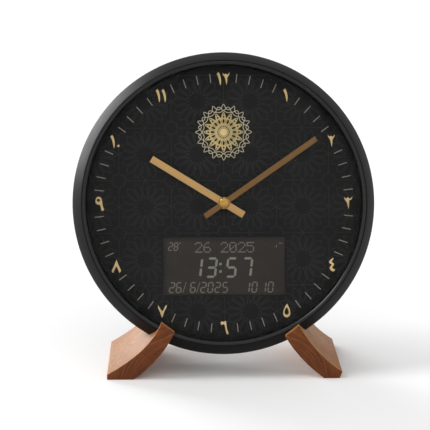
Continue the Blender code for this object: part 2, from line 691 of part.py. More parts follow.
def build_hands(face):
    hour = (HOUR_LENGTH, HOUR_TAIL, HOUR_WIDTH, HOUR_RISE, HOUR_ANGLE, TUBE_RADIUS + CLEAR)
    minute = (MINUTE_LENGTH, MINUTE_TAIL, MINUTE_WIDTH, MINUTE_RISE, MINUTE_ANGLE, ARBOR_RADIUS + CLEAR)
    build_hand("hour_hand", BRASS, face, *hour)
    build_hand("minute_hand", BRONZE, face, *minute)
    back = MINUTE_HAND_FRONT - CLEAR
    dome_height = CAP_HEIGHT - CAP_COLLAR
    dome = [
        (CAP_RADIUS * math.cos(a), back - CAP_COLLAR - dome_height * math.sin(a))
        for a in (math.pi / 2 * step / DOME_STEPS for step in range(DOME_STEPS + 1))
    ]
    dome[-1] = (0.0, back - CAP_HEIGHT)
    bore = ARBOR_RADIUS + CLEAR
    socket = back - CAP_COLLAR
    shape = bmesh.new()
    add_turned(shape, [(0.0, socket), (bore, socket), (bore, back), (CAP_RADIUS, back), *dome], DISC_STEPS)
    finished("hand_cap", shape, BRASS, face)


def gear_outline(teeth, module, turn):
    """Outline of a gear with one tooth centred on the angle given."""
    pitch_radius = teeth * module / 2
    pitch_angle = math.tau / teeth
    flanks = (
        (pitch_radius - DEDENDUM_SHARE * module, ROOT_WIDTH_SHARE),
        (pitch_radius + ADDENDUM_SHARE * module, TIP_WIDTH_SHARE),
    )
    points = []
    for tooth in range(teeth):
        middle = turn + tooth * pitch_angle
        rising = [(radius, middle - share * pitch_angle / 2) for radius, share in flanks]
        falling = [(radius, middle + share * pitch_angle / 2) for radius, share in reversed(flanks)]
        points += [(radius * math.cos(a), radius * math.sin(a)) for radius, a in rising + falling]
    return points


def build_motion_work(face):
    """The cannon pinion, the minute wheel with its pinion, and the hour wheel, all in mesh."""
    coarse = 2 * GEAR_CENTRES / (CANNON_TEETH + MINUTE_WHEEL_TEETH)
    fine = 2 * GEAR_CENTRES / (MINUTE_PINION_TEETH + HOUR_WHEEL_TEETH)
    down = -math.pi / 2
    arbor_rear = LID_FRONT - CLEAR

    shape = bmesh.new()
    cannon_front = MINUTE_WHEEL_FRONT - CLEAR
    add_prism(shape, gear_outline(CANNON_TEETH, coarse, down), cannon_front, cannon_front + PINION_LENGTH)
    arbor = finished("minute_arbor", shape, STEEL, face)
    rod = bmesh.new()
    add_rod(rod, ARBOR_RADIUS, MINUTE_HAND_FRONT - CAP_COLLAR, arbor_rear, PIN_STEPS)
    join(arbor, tool("minute_arbor_rod", rod, face))

    shape = bmesh.new()
    outline = gear_outline(HOUR_WHEEL_TEETH, fine, down + math.pi / HOUR_WHEEL_TEETH)
    add_prism(shape, outline, HOUR_WHEEL_FRONT, HOUR_WHEEL_FRONT + WHEEL_THICK)
    hour_wheel = finished("hour_wheel", shape, WHITE_PLASTIC, face)
    tube = bmesh.new()
    tube_front = -HOUR_RISE - HAND_THICK / 2
    add_rod(tube, TUBE_RADIUS, tube_front, HOUR_WHEEL_FRONT + WHEEL_THICK / 2, DISC_STEPS)
    join(hour_wheel, tool("hour_tube", tube, face))
    bore = bmesh.new()
    add_rod(bore, TUBE_BORE, tube_front - OVERRUN, HOUR_WHEEL_FRONT + WHEEL_THICK + OVERRUN, PIN_STEPS)
    cut(hour_wheel, tool("hour_tube_bore", bore, face))

    place = (0.0, 0.0, -GEAR_CENTRES)
    shape = bmesh.new()
    outline = gear_outline(MINUTE_WHEEL_TEETH, coarse, -down + math.pi / MINUTE_WHEEL_TEETH)
    add_prism(shape, outline, MINUTE_WHEEL_FRONT, MINUTE_WHEEL_FRONT + WHEEL_THICK)
    minute_wheel = finished("minute_wheel", shape, WHITE_PLASTIC, face, place)
    pinion = bmesh.new()
    pinion_rear = MINUTE_WHEEL_FRONT + WHEEL_THICK / 2
    add_prism(pinion, gear_outline(MINUTE_PINION_TEETH, fine, -down), HOUR_WHEEL_FRONT, pinion_rear)
    join(minute_wheel, tool("minute_wheel_pinion", pinion, face, place))
    pivot = bmesh.new()
    add_rod(pivot, PIVOT_RADIUS, HOUR_WHEEL_FRONT, arbor_rear, PIN_STEPS)
    join(minute_wheel, tool("minute_wheel_pivot", pivot, face, place))

    place = (0.0, 0.0, -SETTING_DROP)
    shape = bmesh.new()
    add_prism(shape, gear_outline(CANNON_TEETH, coarse, -down), cannon_front, cannon_front + PINION_LENGTH)
    setter = finished("setting_pinion", shape, WHITE_PLASTIC, face, place)
    shaft = bmesh.new()
    add_rod(shaft, KNOB_SHAFT_RADIUS, HOUR_WHEEL_FRONT, MOVEMENT_BACK + KNOB_HEIGHT / 2, PIN_STEPS)
    join(setter, tool("setting_shaft", shaft, face, place))


def build_setting_knob(face):
    """A ribbed knob on the setting shaft, outside the movement's lid."""
    place = (0.0, 0.0, -SETTING_DROP)
    front = MOVEMENT_BACK + CLEAR
    outline = []
    for step in range(KNOB_RIBS * 2):
        radius = KNOB_RADIUS - KNOB_RIB_HEIGHT * (step % 2)
        turn = math.tau * step / (KNOB_RIBS * 2)
        outline.append((radius * math.cos(turn), radius * math.sin(turn)))
    shape = bmesh.new()
    add_prism(shape, outline, front, front + KNOB_HEIGHT)
    knob = finished("setting_knob", shape, BLACK_PLASTIC, face, place)
    bore = bmesh.new()
    bore_rear = MOVEMENT_BACK + KNOB_HEIGHT / 2 + CLEAR
    add_rod(bore, KNOB_SHAFT_RADIUS + CLEAR, front - OVERRUN, bore_rear, PIN_STEPS)
    cut(knob, tool("setting_knob_bore", bore, face, place))


def build_movement_housing(face):
    shape = bmesh.new()
    outline = rounded_box(MOVEMENT_WIDTH, MOVEMENT_HEIGHT, MOVEMENT_CORNER, 0.0, MOVEMENT_RISE)
    add_prism(shape, outline, MOVEMENT_FRONT, MOVEMENT_BACK)
    housing = finished("movement_housing", shape, BLACK_PLASTIC, face)
    width = MOVEMENT_WIDTH - 2 * MOVEMENT_WALL
    room = bmesh.new()
    gearbox = rounded_box(width, GEARBOX_HEIGHT, MOVEMENT_CORNER / 2, 0.0, GEARBOX_RISE)
    add_prism(room, gearbox, GEARBOX_FLOOR, MOVEMENT_BACK + OVERRUN)
    cut(housing, tool("gearbox_room", room, face))
    cell_z = MOVEMENT_CELL_RISE
    bed = bmesh.new()
    bottom = arc((cell_z, MOVEMENT_CELL_Y), BED_RADIUS, -math.pi, 0.0, DISC_STEPS // 2)
    rim = MOVEMENT_BACK + OVERRUN
    section = [(cell_z - BED_RADIUS, rim), *bottom, (cell_z + BED_RADIUS, rim)]
    reach = CELL_LENGTH / 2 + CELL_ROOM
    corners = [bed.verts.new((-reach, depth, z)) for z, depth in section]
    face_end = bed.faces.new(corners)
    grown = bmesh.ops.extrude_face_region(bed, geom=[face_end])["geom"]
    moved = [item for item in grown if isinstance(item, bmesh.types.BMVert)]
    bmesh.ops.translate(bed, verts=moved, vec=(2 * reach, 0.0, 0.0))
    cut(housing, tool("movement_cell_bed", bed, face))
    hole = bmesh.new()
    add_rod(hole, BUSH_BORE, MOVEMENT_FRONT - OVERRUN, GEARBOX_FLOOR + OVERRUN, DISC_STEPS)
    cut(housing, tool("movement_shaft_hole", hole, face))

    shape = bmesh.new()
    lid_outline = rounded_box(
        width - 2 * CLEAR, GEARBOX_HEIGHT - 2 * CLEAR, MOVEMENT_CORNER / 2, 0.0, GEARBOX_RISE
    )
    add_prism(shape, lid_outline, LID_FRONT, MOVEMENT_BACK)
    lid = finished("movement_lid", shape, GREY_PLASTIC, face)
    hole = bmesh.new()
    hole_ends = (LID_FRONT - OVERRUN, MOVEMENT_BACK + OVERRUN)
    add_rod(hole, KNOB_SHAFT_RADIUS + CLEAR, *hole_ends, PIN_STEPS, 0.0, -SETTING_DROP)
    cut(lid, tool("lid_shaft_hole", hole, face))


def add_collar(shape, bore, radius, front, rear):
    """Turns a plain ring about the hand shaft."""
    add_turned(shape, [(bore, front), (radius, front), (radius, rear), (bore, rear)], DISC_STEPS)


def build_shaft_fittings(face):
    """The threaded bush through the dial, with its washer and its slotted round nut."""
    shape = bmesh.new()
    add_collar(shape, BUSH_BORE, BUSH_RADIUS, -BUSH_RISE, MOVEMENT_FRONT - CLEAR)
    finished("threaded_bush", shape, BRASS, face)
    bore = BUSH_RADIUS + CLEAR
    washer_front = -CLEAR - WASHER_THICK
    shape = bmesh.new()
    add_collar(shape, bore, NUT_RADIUS, washer_front, -CLEAR)
    finished("dial_washer", shape, RUBBER, face)
    nut_rear = washer_front - CLEAR
    nut_front = nut_rear - NUT_THICK
    shape = bmesh.new()
    add_collar(shape, bore, NUT_RADIUS, nut_front, nut_rear)
    nut = finished("dial_nut", shape, BRASS, face)
    slot = bmesh.new()
    outline = box(-NUT_RADIUS - OVERRUN, NUT_RADIUS + OVERRUN, -NUT_SLOT / 2, NUT_SLOT / 2)
    add_prism(slot, outline, nut_front - OVERRUN, nut_front + NUT_THICK / 2)
    cut(nut, tool("dial_nut_slot", slot, face))


def build_motor(face):
    """Coil, stator and rotor of the stepping motor beside the wheels."""
    middle = GEARBOX_FLOOR + MOTOR_DEPTH
    leg_start = COIL_LENGTH / 2 + CLEAR
    outline = [
        (STATOR_REACH, -leg_start - STATOR_LEG),
        (BAR_RIGHT, -leg_start - STATOR_LEG),
        (BAR_RIGHT, leg_start + STATOR_SHORT_LEG),
        (COIL_OFFSET - COIL_RADIUS, leg_start + STATOR_SHORT_LEG),
        (COIL_OFFSET - COIL_RADIUS, leg_start),
        (BAR_LEFT, leg_start),
        (BAR_LEFT, -leg_start),
        (STATOR_REACH, -leg_start),
    ]
    shape = bmesh.new()
    add_prism(shape, outline, middle - STATOR_THICK / 2, middle + STATOR_THICK / 2)
    stator = finished("motor_stator", shape, STEEL, face)
    rotor_z = -leg_start - STATOR_LEG / 2
    hole = bmesh.new()
    hole_ends = (middle - STATOR_THICK, middle + STATOR_THICK)
    add_rod(hole, ROTOR_RADIUS + CLEAR, *hole_ends, DISC_STEPS, ROTOR_OFFSET, rotor_z)
    cut(stator, tool("motor_stator_hole", hole, face))

    shape = bmesh.new()
    coil = bmesh.ops.create_cone(
        shape,
        cap_ends=True,
        segments=DISC_STEPS,
        radius1=COIL_RADIUS,
        radius2=COIL_RADIUS,
        depth=COIL_LENGTH,
    )
    bmesh.ops.translate(shape, verts=coil["verts"], vec=(COIL_OFFSET, middle, 0.0))
    finished("motor_coil", shape, COPPER, face)

    place = (ROTOR_OFFSET, 0.0, rotor_z)
    shape = bmesh.new()
    half = ROTOR_LENGTH / 2
    profile = [
        (0.0, HOUR_WHEEL_FRONT),
        (PIVOT_RADIUS, HOUR_WHEEL_FRONT),
        (PIVOT_RADIUS, middle - half),
        (ROTOR_RADIUS, middle - half),
        (ROTOR_RADIUS, middle + half),
        (PIVOT_RADIUS, middle + half),
        (PIVOT_RADIUS, LID_FRONT - CLEAR),
        (0.0, LID_FRONT - CLEAR),
    ]
    add_turned(shape, profile, PIN_STEPS)
    finished("motor_rotor", shape, MAGNET_GREY, face, place)


def build_cell(name, face, y, z, flip):
    """An AA cell lying across the clock, its raised terminal to one side."""
    half = CELL_LENGTH / 2
    profile = [
        (0.0, -half),
        (CELL_RADIUS - CELL_ROUND, -half),
        (CELL_RADIUS, CELL_ROUND - half),
        (CELL_RADIUS, half - CELL_NUB - CELL_ROUND),
        (CELL_RADIUS - CELL_ROUND, half - CELL_NUB),
        (CELL_NUB_RADIUS, half - CELL_NUB),
        (CELL_NUB_RADIUS, half),
        (0.0, half),
    ]
    shape = bmesh.new()
    add_turned(shape, profile, PIN_STEPS)
    turn = math.pi / 2 if flip else -math.pi / 2
    bmesh.ops.rotate(shape, verts=shape.verts, cent=(0.0, 0.0, 0.0), matrix=Matrix.Rotation(turn, 3, "Z"))
    finished(name, shape, CELL_SLEEVE, face, (0.0, y, z))


def cell_rows():
    """Heights of the cells in the battery bay."""
    middle = (BAY_CELLS - 1) / 2
    return [-BAY_DROP + (middle - row) * CELL_PITCH for row in range(BAY_CELLS)]


def build_batteries(face):
    """The movement's own cell, the three cells of the bay and the contact strips at their ends."""
    build_cell("movement_battery", face, MOVEMENT_CELL_Y, MOVEMENT_CELL_RISE, False)
    for row, z in enumerate(cell_rows()):
        build_cell(f"battery_{row + 1}", face, CELL_Y, z, row % 2 == 0)
    low = -BAY_DROP - BAY_HEIGHT / 2 + CLEAR
    high = -BAY_DROP + BAY_HEIGHT / 2 - CLEAR
    cell_end = CELL_LENGTH / 2 + CLEAR
    wall = BAY_WIDTH / 2 - CLEAR
    length = wall - cell_end
    for name, side in (("left_contacts", -1), ("right_contacts", 1)):
        left, right = sorted((side * wall, side * (wall - CONTACT_THICK)))
        shape = bmesh.new()
        add_prism(shape, box(left, right, low, high), BAY_FLOOR + CLEAR, CELL_Y + CELL_RADIUS / 2)
        strip = finished(name, shape, STEEL, face)
        bumps = bmesh.new()
        lay_flat = Matrix.Rotation(-side * math.pi / 2, 4, "Y")
        for z in cell_rows():
            place = Matrix.Translation((side * (cell_end + length / 2), CELL_Y, z))
            bmesh.ops.create_cone(
                bumps,
                cap_ends=True,
                segments=PIN_STEPS,
                radius1=CONTACT_RADIUS,
                radius2=CONTACT_RADIUS / 2,
                depth=length,
                matrix=place @ lay_flat,
            )
        join(strip, tool(name + "_springs", bumps, face))


def button_rows():
    middle = (BUTTON_COUNT - 1) / 2
    return [(middle - row) * BUTTON_PITCH for row in range(BUTTON_COUNT)]


def key_post_rise():
    """Height of the posts that hold the ends of the key board."""
    return button_rows()[0] + KEY_BOARD_END - POST_RADIUS - CLEAR


def build_rear_cover(face):
    """The rear cover, with what stands on it and what is cut through it."""
    radius = REBATE_RADIUS - CLEAR
    profile = [
        (0.0, COVER_FRONT),
        (radius, COVER_FRONT),
        (radius, COVER_REAR - COVER_EDGE),
        (radius - COVER_EDGE, COVER_REAR),
        (0.0, COVER_REAR),
    ]
    shape = bmesh.new()
    add_turned(shape, profile, RIM_STEPS)
    cover = finished("rear_cover", shape, BLACK_PLASTIC, face)
    add_cover_walls(face, cover)
    add_door_rails(face, cover)
    cut_cover(face, cover)


def add_cover_walls(face, cover):
    """Posts for the screws and the key board, and the walls of the well and the battery bay."""
    inside = COVER_FRONT + COVER_THICK / 2
    posts = bmesh.new()
    for x, z in screw_places():
        add_rod(posts, POST_RADIUS, CHASSIS_REAR + CLEAR, inside, PIN_STEPS, x, z)
    for z in (key_post_rise(), -key_post_rise()):
        add_rod(posts, POST_RADIUS, KEY_BOARD_REAR + CLEAR, inside, PIN_STEPS, -BUTTON_OFFSET, z)
    well = (WELL_WIDTH + 2 * WELL_WALL, WELL_HEIGHT + 2 * WELL_WALL)
    corner = MOVEMENT_CORNER + WELL_WALL
    add_prism(posts, rounded_box(*well, corner, 0.0, MOVEMENT_RISE), WELL_FRONT, inside)
    bay = (BAY_WIDTH + 2 * BAY_WALL, BAY_HEIGHT + 2 * BAY_WALL)
    add_prism(posts, rounded_box(*bay, BAY_WALL, 0.0, -BAY_DROP), BAY_FLOOR - BAY_WALL, inside)
    join(cover, tool("cover_posts_and_walls", posts, face))


def add_door_rails(face, cover):
    """Rails on three sides of the battery door, open at the bottom."""
    half = DOOR_WIDTH / 2 + CLEAR
    low = -BAY_DROP - DOOR_HEIGHT / 2
    high = -BAY_DROP + DOOR_HEIGHT / 2 + CLEAR
    rails = bmesh.new()
    outer = box(-half - RAIL_WIDTH, half + RAIL_WIDTH, low, high + RAIL_WIDTH)
    add_prism(rails, outer, COVER_REAR - COVER_THICK / 2, RAIL_REAR)
    join(cover, tool("cover_rails", rails, face))
    slot = bmesh.new()
    add_prism(slot, box(-half, half, low - OVERRUN, high), COVER_REAR, RAIL_REAR - RAIL_ROOF)
    cut(cover, tool("door_slot", slot, face))
    gap = bmesh.new()
    mouth = DOOR_WIDTH / 2 - RAIL_LIP
    add_prism(gap, box(-mouth, mouth, low - OVERRUN, high - RAIL_LIP), COVER_REAR, RAIL_REAR + OVERRUN)
    cut(cover, tool("door_gap", gap, face))


def cut_cover(face, cover):
    """Rooms for the movement and the cells, holes for buttons and screws, the keyhole and the grille."""
    front = COVER_FRONT - OVERRUN
    rear = COVER_REAR + OVERRUN
    rooms = bmesh.new()
    well = rounded_box(WELL_WIDTH, WELL_HEIGHT, MOVEMENT_CORNER, 0.0, MOVEMENT_RISE)
    add_prism(rooms, well, WELL_FRONT - OVERRUN, rear)
    bay = rounded_box(BAY_WIDTH, BAY_HEIGHT, CLEAR, 0.0, -BAY_DROP)
    add_prism(rooms, bay, BAY_FLOOR, COVER_REAR + OVERRUN / 2)
    for z in button_rows():
        add_rod(rooms, BUTTON_RADIUS + CLEAR, front, rear, PIN_STEPS, -BUTTON_OFFSET, z)
    for x, z in screw_places():
        add_rod(rooms, SCREW_HEAD + CLEAR, COVER_REAR - SCREW_SINK, rear, PIN_STEPS, x, z)
    add_prism(rooms, hanger_outline(), front, rear)
    cut(cover, tool("cover_rooms", rooms, face))
    bores = bmesh.new()
    for x, z in screw_places():
        add_rod(bores, SCREW_RADIUS + CLEAR, CHASSIS_REAR, COVER_REAR, PIN_STEPS, x, z)
    cut(cover, tool("cover_screw_bores", bores, face))
    cut(cover, tool("cover_grille", grille_slots(), face))


def hanger_outline():
    """Keyhole for a nail: a round mouth with a narrow slot above it."""
    lean = math.asin(HANGER_NECK / HANGER_HEAD)
    start = math.pi / 2 + lean
    mouth = arc((0.0, HANGER_RISE), HANGER_HEAD, start, start + math.tau - 2 * lean, DISC_STEPS // 2)
    neck = arc((0.0, HANGER_RISE + HANGER_TRAVEL), HANGER_NECK, 0.0, math.pi, PIN_STEPS // 2)
    return mouth + neck


def grille_slots():
    """Rounded slots across a round field, each as long as its chord, as many as fit."""
    slots = bmesh.new()
    end = GRILLE_SLOT / 2
    quarter = math.pi / 2
    rows = int((GRILLE_RADIUS - end) / GRILLE_PITCH)
    for row in range(-rows, rows + 1):
        offset = row * GRILLE_PITCH
        reach = math.sqrt(GRILLE_RADIUS**2 - offset**2) - end
        rise = SPEAKER_RISE + offset
        left = arc((-reach, rise), end, quarter, 3 * quarter, SLOT_END_STEPS)
        right = arc((reach, rise), end, -quarter, quarter, SLOT_END_STEPS)
        add_prism(slots, left + right, COVER_FRONT - OVERRUN, COVER_REAR + OVERRUN)
    return slots


def build_battery_door(face):
    """A lid that slides down out of its rails, with ribs for the thumb."""
    low = -BAY_DROP - DOOR_HEIGHT / 2
    half = DOOR_WIDTH / 2
    shape = bmesh.new()
    add_prism(shape, box(-half, half, low, low + DOOR_HEIGHT), DOOR_FRONT, DOOR_REAR)
    door = finished("battery_door", shape, BLACK_PLASTIC, face)
    ribs = bmesh.new()
    for row in range(GRIP_RIBS):
        z = low + GRIP_PITCH * (row + 1)
        outline = box(-GRIP_LENGTH / 2, GRIP_LENGTH / 2, z - GRIP_RIB / 2, z + GRIP_RIB / 2)
        add_prism(ribs, outline, DOOR_REAR - DOOR_THICK / 2, DOOR_REAR + GRIP_RIB)
    join(door, tool("battery_door_ribs", ribs, face))


def build_buttons(face):
    for row, z in enumerate(button_rows()):
        cap = COVER_REAR + BUTTON_RISE
        flange_front = BUTTON_FLANGE_REAR - BUTTON_FLANGE_THICK
        profile = [
            (0.0, cap),
            (BUTTON_RADIUS - BUTTON_ROUND, cap),
            (BUTTON_RADIUS, cap - BUTTON_ROUND),
            (BUTTON_RADIUS, BUTTON_FLANGE_REAR),
            (BUTTON_FLANGE, BUTTON_FLANGE_REAR),
            (BUTTON_FLANGE, flange_front),
            (BUTTON_STEM_RADIUS, flange_front),
            (BUTTON_STEM_RADIUS, BUTTON_STEM_END),
            (0.0, BUTTON_STEM_END),
        ]
        shape = bmesh.new()
        add_turned(shape, profile, PIN_STEPS)
        finished(f"rear_button_{row + 1}", shape, GREY_PLASTIC, face, (-BUTTON_OFFSET, 0.0, z))
    half = button_rows()[0] + KEY_BOARD_END
    shape = bmesh.new()
    outline = box(-BUTTON_OFFSET - KEY_BOARD_WIDTH / 2, -BUTTON_OFFSET + KEY_BOARD_WIDTH / 2, -half, half)
    add_prism(shape, outline, KEY_BOARD_REAR - BOARD_THICK, KEY_BOARD_REAR)
    board = finished("key_board", shape, BOARD_GREEN, face)
    switches = bmesh.new()
    half = SWITCH_SIDE / 2
    for z in button_rows():
        outline = box(-BUTTON_OFFSET - half, -BUTTON_OFFSET + half, z - half, z + half)
        add_prism(switches, outline, KEY_BOARD_REAR - SWITCH_SINK, SWITCH_TOP)
    join(board, tool("key_switches", switches, face))


def build_speaker(face):
    """A pressed frame, a paper cone with its dust cap, and the magnet."""
    rear = COVER_FRONT - CLEAR
    front = rear - SPEAKER_DEPTH
    place = (0.0, 0.0, SPEAKER_RISE)
    inner = SPEAKER_WALL
    mouth = CONE_RADIUS + CLEAR
    step = rear - CONE_THICK - 2 * CLEAR
    profile = [
        (mouth, rear),
        (SPEAKER_RADIUS, rear),
        (SPEAKER_RADIUS, rear - SPEAKER_FLANGE),
        (mouth + inner, rear - SPEAKER_FLANGE),
        (mouth + inner, step - inner),
        (SPEAKER_BACK_RADIUS, front),
        (0.0, front),
        (0.0, front + inner),
        (SPEAKER_BACK_RADIUS - inner / 2, front + inner),
        (mouth, step),
    ]
    shape = bmesh.new()
    add_turned(shape, profile, DISC_STEPS)
    finished("speaker_frame", shape, STEEL, face, place)
    cone_rear = rear - CLEAR
    deep = cone_rear - CONE_DEPTH
    profile = [
        (CONE_RADIUS, cone_rear),
        (CONE_RADIUS, cone_rear - CONE_THICK),
        (DUST_CAP_RADIUS, deep - CONE_THICK),
        (0.0, deep - CONE_THICK),
        (0.0, deep + DUST_CAP_RISE),
        (DUST_CAP_RADIUS / 2, deep + DUST_CAP_RISE * 3 / 4),
        (DUST_CAP_RADIUS, deep),
    ]
    shape = bmesh.new()
    add_turned(shape, profile, DISC_STEPS)
    finished("speaker_cone", shape, PAPER, face, place)
    shape = bmesh.new()
    magnet_rear = front - CLEAR
    add_rod(shape, MAGNET_RADIUS, magnet_rear - MAGNET_HEIGHT, magnet_rear, DISC_STEPS)
    finished("speaker_magnet", shape, MAGNET_GREY, face, place)


def build_screws(face):
    """Four long screws from the rear cover through the chassis ears into the case."""
    seat = COVER_REAR - SCREW_SINK + CLEAR
    tip = CHASSIS_FRONT - CLEAR - SCREW_BITE
    head = seat + SCREW_HEAD_HEIGHT
    profile = [
        (0.0, head),
        (SCREW_HEAD * 3 / 4, head),
        (SCREW_HEAD, head - SCREW_HEAD_HEIGHT / 2),
        (SCREW_HEAD, seat),
        (SCREW_RADIUS, seat),
        (SCREW_RADIUS, tip + SCREW_RADIUS),
        (0.0, tip),
    ]
    for number, (x, z) in enumerate(screw_places()):
        shape = bmesh.new()
        add_turned(shape, profile, PIN_STEPS)
        finished(f"case_screw_{number + 1}", shape, STEEL, face, (x, 0.0, z))


def case_envelope():
    """Solid shape of the closed case with a gap all round, which cuts the saddles of the feet."""
    shape = bmesh.new()
    outer = [(radius + CLEAR, depth) for radius, depth in case_outline()[1:3]]
    profile = [
        (0.0, RING_FRONT - CLEAR),
        (POCKET_RADIUS, RING_FRONT - CLEAR),
        (FACE_RADIUS + CLEAR, -FACE_RISE - CLEAR),
        *outer,
        (CASE_RADIUS + CLEAR, CASE_BACK + CLEAR),
        (0.0, CASE_BACK + CLEAR),
    ]
    add_turned(shape, profile, RIM_STEPS)
    return shape


def build_foot(name, shares, side, front, saddle):
    """A board on its end grain: a curved outline run straight back, with a saddle cut to the case."""
    outline = {spot: (CASE_RADIUS * x, CASE_RADIUS * z) for spot, (x, z) in shares.items()}
    edge = bowed(outline["tip"], outline["outer"], outline["toe"], FOOT_CURVE_STEPS)
    sole = [outline["sole"], outline["heel"]]
    belly = bowed(outline["heel"], outline["inner"], outline["crown"], FOOT_CURVE_STEPS)[1:]
    points = [(side * x, z) for x, z in edge + sole + belly]
    shape = bmesh.new()
    add_prism(shape, points, front, front + FOOT_DEPTH)
    foot = finished(name, shape, WOOD, None)
    arris = foot.modifiers.new("arris", "BEVEL")
    arris.width = FOOT_ARRIS
    arris.segments = 1
    arris.limit_method = "ANGLE"
    arris.angle_limit = math.radians(40.0)
    cut(foot, saddle)


def stance():
    """How far behind the middle of the whole clock the hand shaft stands, so that the origin is central."""
    rearmost = max(radius * math.sin(LEAN) + depth * math.cos(LEAN) for radius, depth in case_outline())
    return (FOOT_FRONT - rearmost) / 2


def main():
    clear_scene()
    shift = stance()
    face = bpy.data.objects.new("face_frame", None)
    face.location = (0.0, shift, DIAL_HEIGHT)
    face.rotation_euler = (-LEAN, 0.0, 0.0)
    bpy.context.scene.collection.objects.link(face)
    build_case(face)
    build_lens(face)
    build_dial(face)
    build_chassis(face)
    build_display(face)
    build_main_board(face)
    build_hands(face)
    build_shaft_fittings(face)
    build_motion_work(face)
    build_setting_knob(face)
    build_movement_housing(face)
    build_motor(face)
    build_batteries(face)
    build_rear_cover(face)
    build_battery_door(face)
    build_buttons(face)
    build_speaker(face)
    build_screws(face)
    saddle = tool("case_envelope", case_envelope(), face)
    build_foot("left_foot", LEFT_FOOT_SHARES, -1, shift - FOOT_FRONT, saddle)
    build_foot("right_foot", RIGHT_FOOT_SHARES, 1, shift - FOOT_FRONT, saddle)


main()
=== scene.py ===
"""Looks of the leaning desk clock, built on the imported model.

The face frame has x to the right, z up the dial and y to the rear, with its origin where the hand shaft
passes the front of the dial. Every size is in metres.
"""

import json
import logging
import math
from dataclasses import dataclass
from enum import Enum
from typing import Iterable, Sequence

import bpy
from mathutils import Matrix, Vector


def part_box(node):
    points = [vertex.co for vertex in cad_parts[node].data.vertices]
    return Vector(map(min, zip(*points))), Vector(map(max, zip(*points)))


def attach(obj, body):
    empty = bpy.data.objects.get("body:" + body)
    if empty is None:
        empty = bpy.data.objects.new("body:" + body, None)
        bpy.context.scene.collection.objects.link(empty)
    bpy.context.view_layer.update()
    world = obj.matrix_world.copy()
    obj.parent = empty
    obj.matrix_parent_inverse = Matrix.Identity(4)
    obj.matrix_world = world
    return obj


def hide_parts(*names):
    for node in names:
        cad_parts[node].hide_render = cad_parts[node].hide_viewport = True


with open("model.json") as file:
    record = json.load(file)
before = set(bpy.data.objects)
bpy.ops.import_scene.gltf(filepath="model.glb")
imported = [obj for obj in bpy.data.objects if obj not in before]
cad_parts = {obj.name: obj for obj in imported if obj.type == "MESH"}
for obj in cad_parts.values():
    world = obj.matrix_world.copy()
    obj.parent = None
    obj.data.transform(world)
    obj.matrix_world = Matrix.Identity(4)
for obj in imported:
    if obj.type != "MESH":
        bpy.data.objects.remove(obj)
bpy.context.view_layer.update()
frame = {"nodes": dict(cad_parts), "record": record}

logging.basicConfig(level=logging.INFO, format="%(message)s")
log = logging.getLogger("clock")

Point = tuple[float, float]
Colour = tuple[float, float, float]
Window = tuple[float, float, float, float]
Hole = tuple[float, float, float, int]

LEAN = math.radians(13.0)
MM = 0.001
TOUCH_GAP = 0.0003


def hand_shaft() -> Vector:
    """Gives the point where the hand shaft passes the front of the dial."""
    joints = {joint["name"]: joint for joint in frame["record"]["behaviour"]["joints"]}
    return Vector(joints["minute_hand_turn"]["pos_m"])


FACE = Matrix.Translation(hand_shaft()) @ Matrix.Rotation(-LEAN, 4, "X")


class Body(Enum):
    """Bodies that the new pieces ride on, apart from the push buttons."""

    CLOCK = "clock"
    HOUR = "hour_hand"
    MINUTE = "minute_hand"


# Bench tools


def clear_selection() -> None:
    """Deselects every object."""
    bpy.ops.object.select_all(action="DESELECT")


def pick(obj: bpy.types.Object) -> None:
    """Makes one object the only selected and active one.

    Args:
        obj: The object to pick.
    """
    clear_selection()
    obj.select_set(True)
    bpy.context.view_layer.objects.active = obj


def apply_modifier(obj: bpy.types.Object, kind: str, **settings: object) -> None:
    """Adds a modifier and applies it at once.

    Args:
        obj: The object to change.
        kind: The modifier's type.
        settings: The modifier's own settings.
    """
    pick(obj)
    modifier = obj.modifiers.new(kind.lower(), kind)
    for key, value in settings.items():
        setattr(modifier, key, value)
    bpy.ops.object.modifier_apply(modifier=modifier.name)


def tidy_mesh(obj: bpy.types.Object, merge: float = 0.000001) -> None:
    """Merges doubled points and turns every face outwards.

    Args:
        obj: The object whose mesh is tidied.
        merge: Points nearer than this become one.
    """
    pick(obj)
    bpy.ops.object.mode_set(mode="EDIT")
    bpy.ops.mesh.select_all(action="SELECT")
    bpy.ops.mesh.remove_doubles(threshold=merge)
    bpy.ops.mesh.normals_make_consistent(inside=False)
    bpy.ops.object.mode_set(mode="OBJECT")


def smooth(obj: bpy.types.Object, degrees: float = 32.0) -> None:
    """Shades an object smooth, with sharp edges above an angle.

    Args:
        obj: The object to shade.
        degrees: Edges that bend more than this stay sharp.
    """
    pick(obj)
    bpy.ops.object.shade_smooth_by_angle(angle=math.radians(degrees))


def soften(obj: bpy.types.Object, width: float) -> None:
    """Bevels an object's sharp edges.

    Args:
        obj: The object to bevel.
        width: Width of the bevel.
    """
    limit = math.radians(40.0)
    apply_modifier(obj, "BEVEL", width=width, segments=2, limit_method="ANGLE", angle_limit=limit)


def settle(obj: bpy.types.Object, place: Matrix = FACE) -> None:
    """Moves an object to its place and writes the place into its mesh.

    Args:
        obj: The object to place.
        place: The transform from the frame it was modelled in.
    """
    obj.matrix_world = place @ obj.matrix_world
    pick(obj)
    bpy.ops.object.transform_apply(location=True, rotation=True, scale=True)


def joined(name: str, parts: Sequence[bpy.types.Object]) -> bpy.types.Object:
    """Joins several objects into one.

    Args:
        name: The name of the result.
        parts: The objects to join.

    Returns:
        The joined object.
    """
    clear_selection()
    for part in parts:
        part.select_set(True)
    bpy.context.view_layer.objects.active = parts[0]
    if len(parts) > 1:
        bpy.ops.object.join()
    parts[0].name = name
    return parts[0]


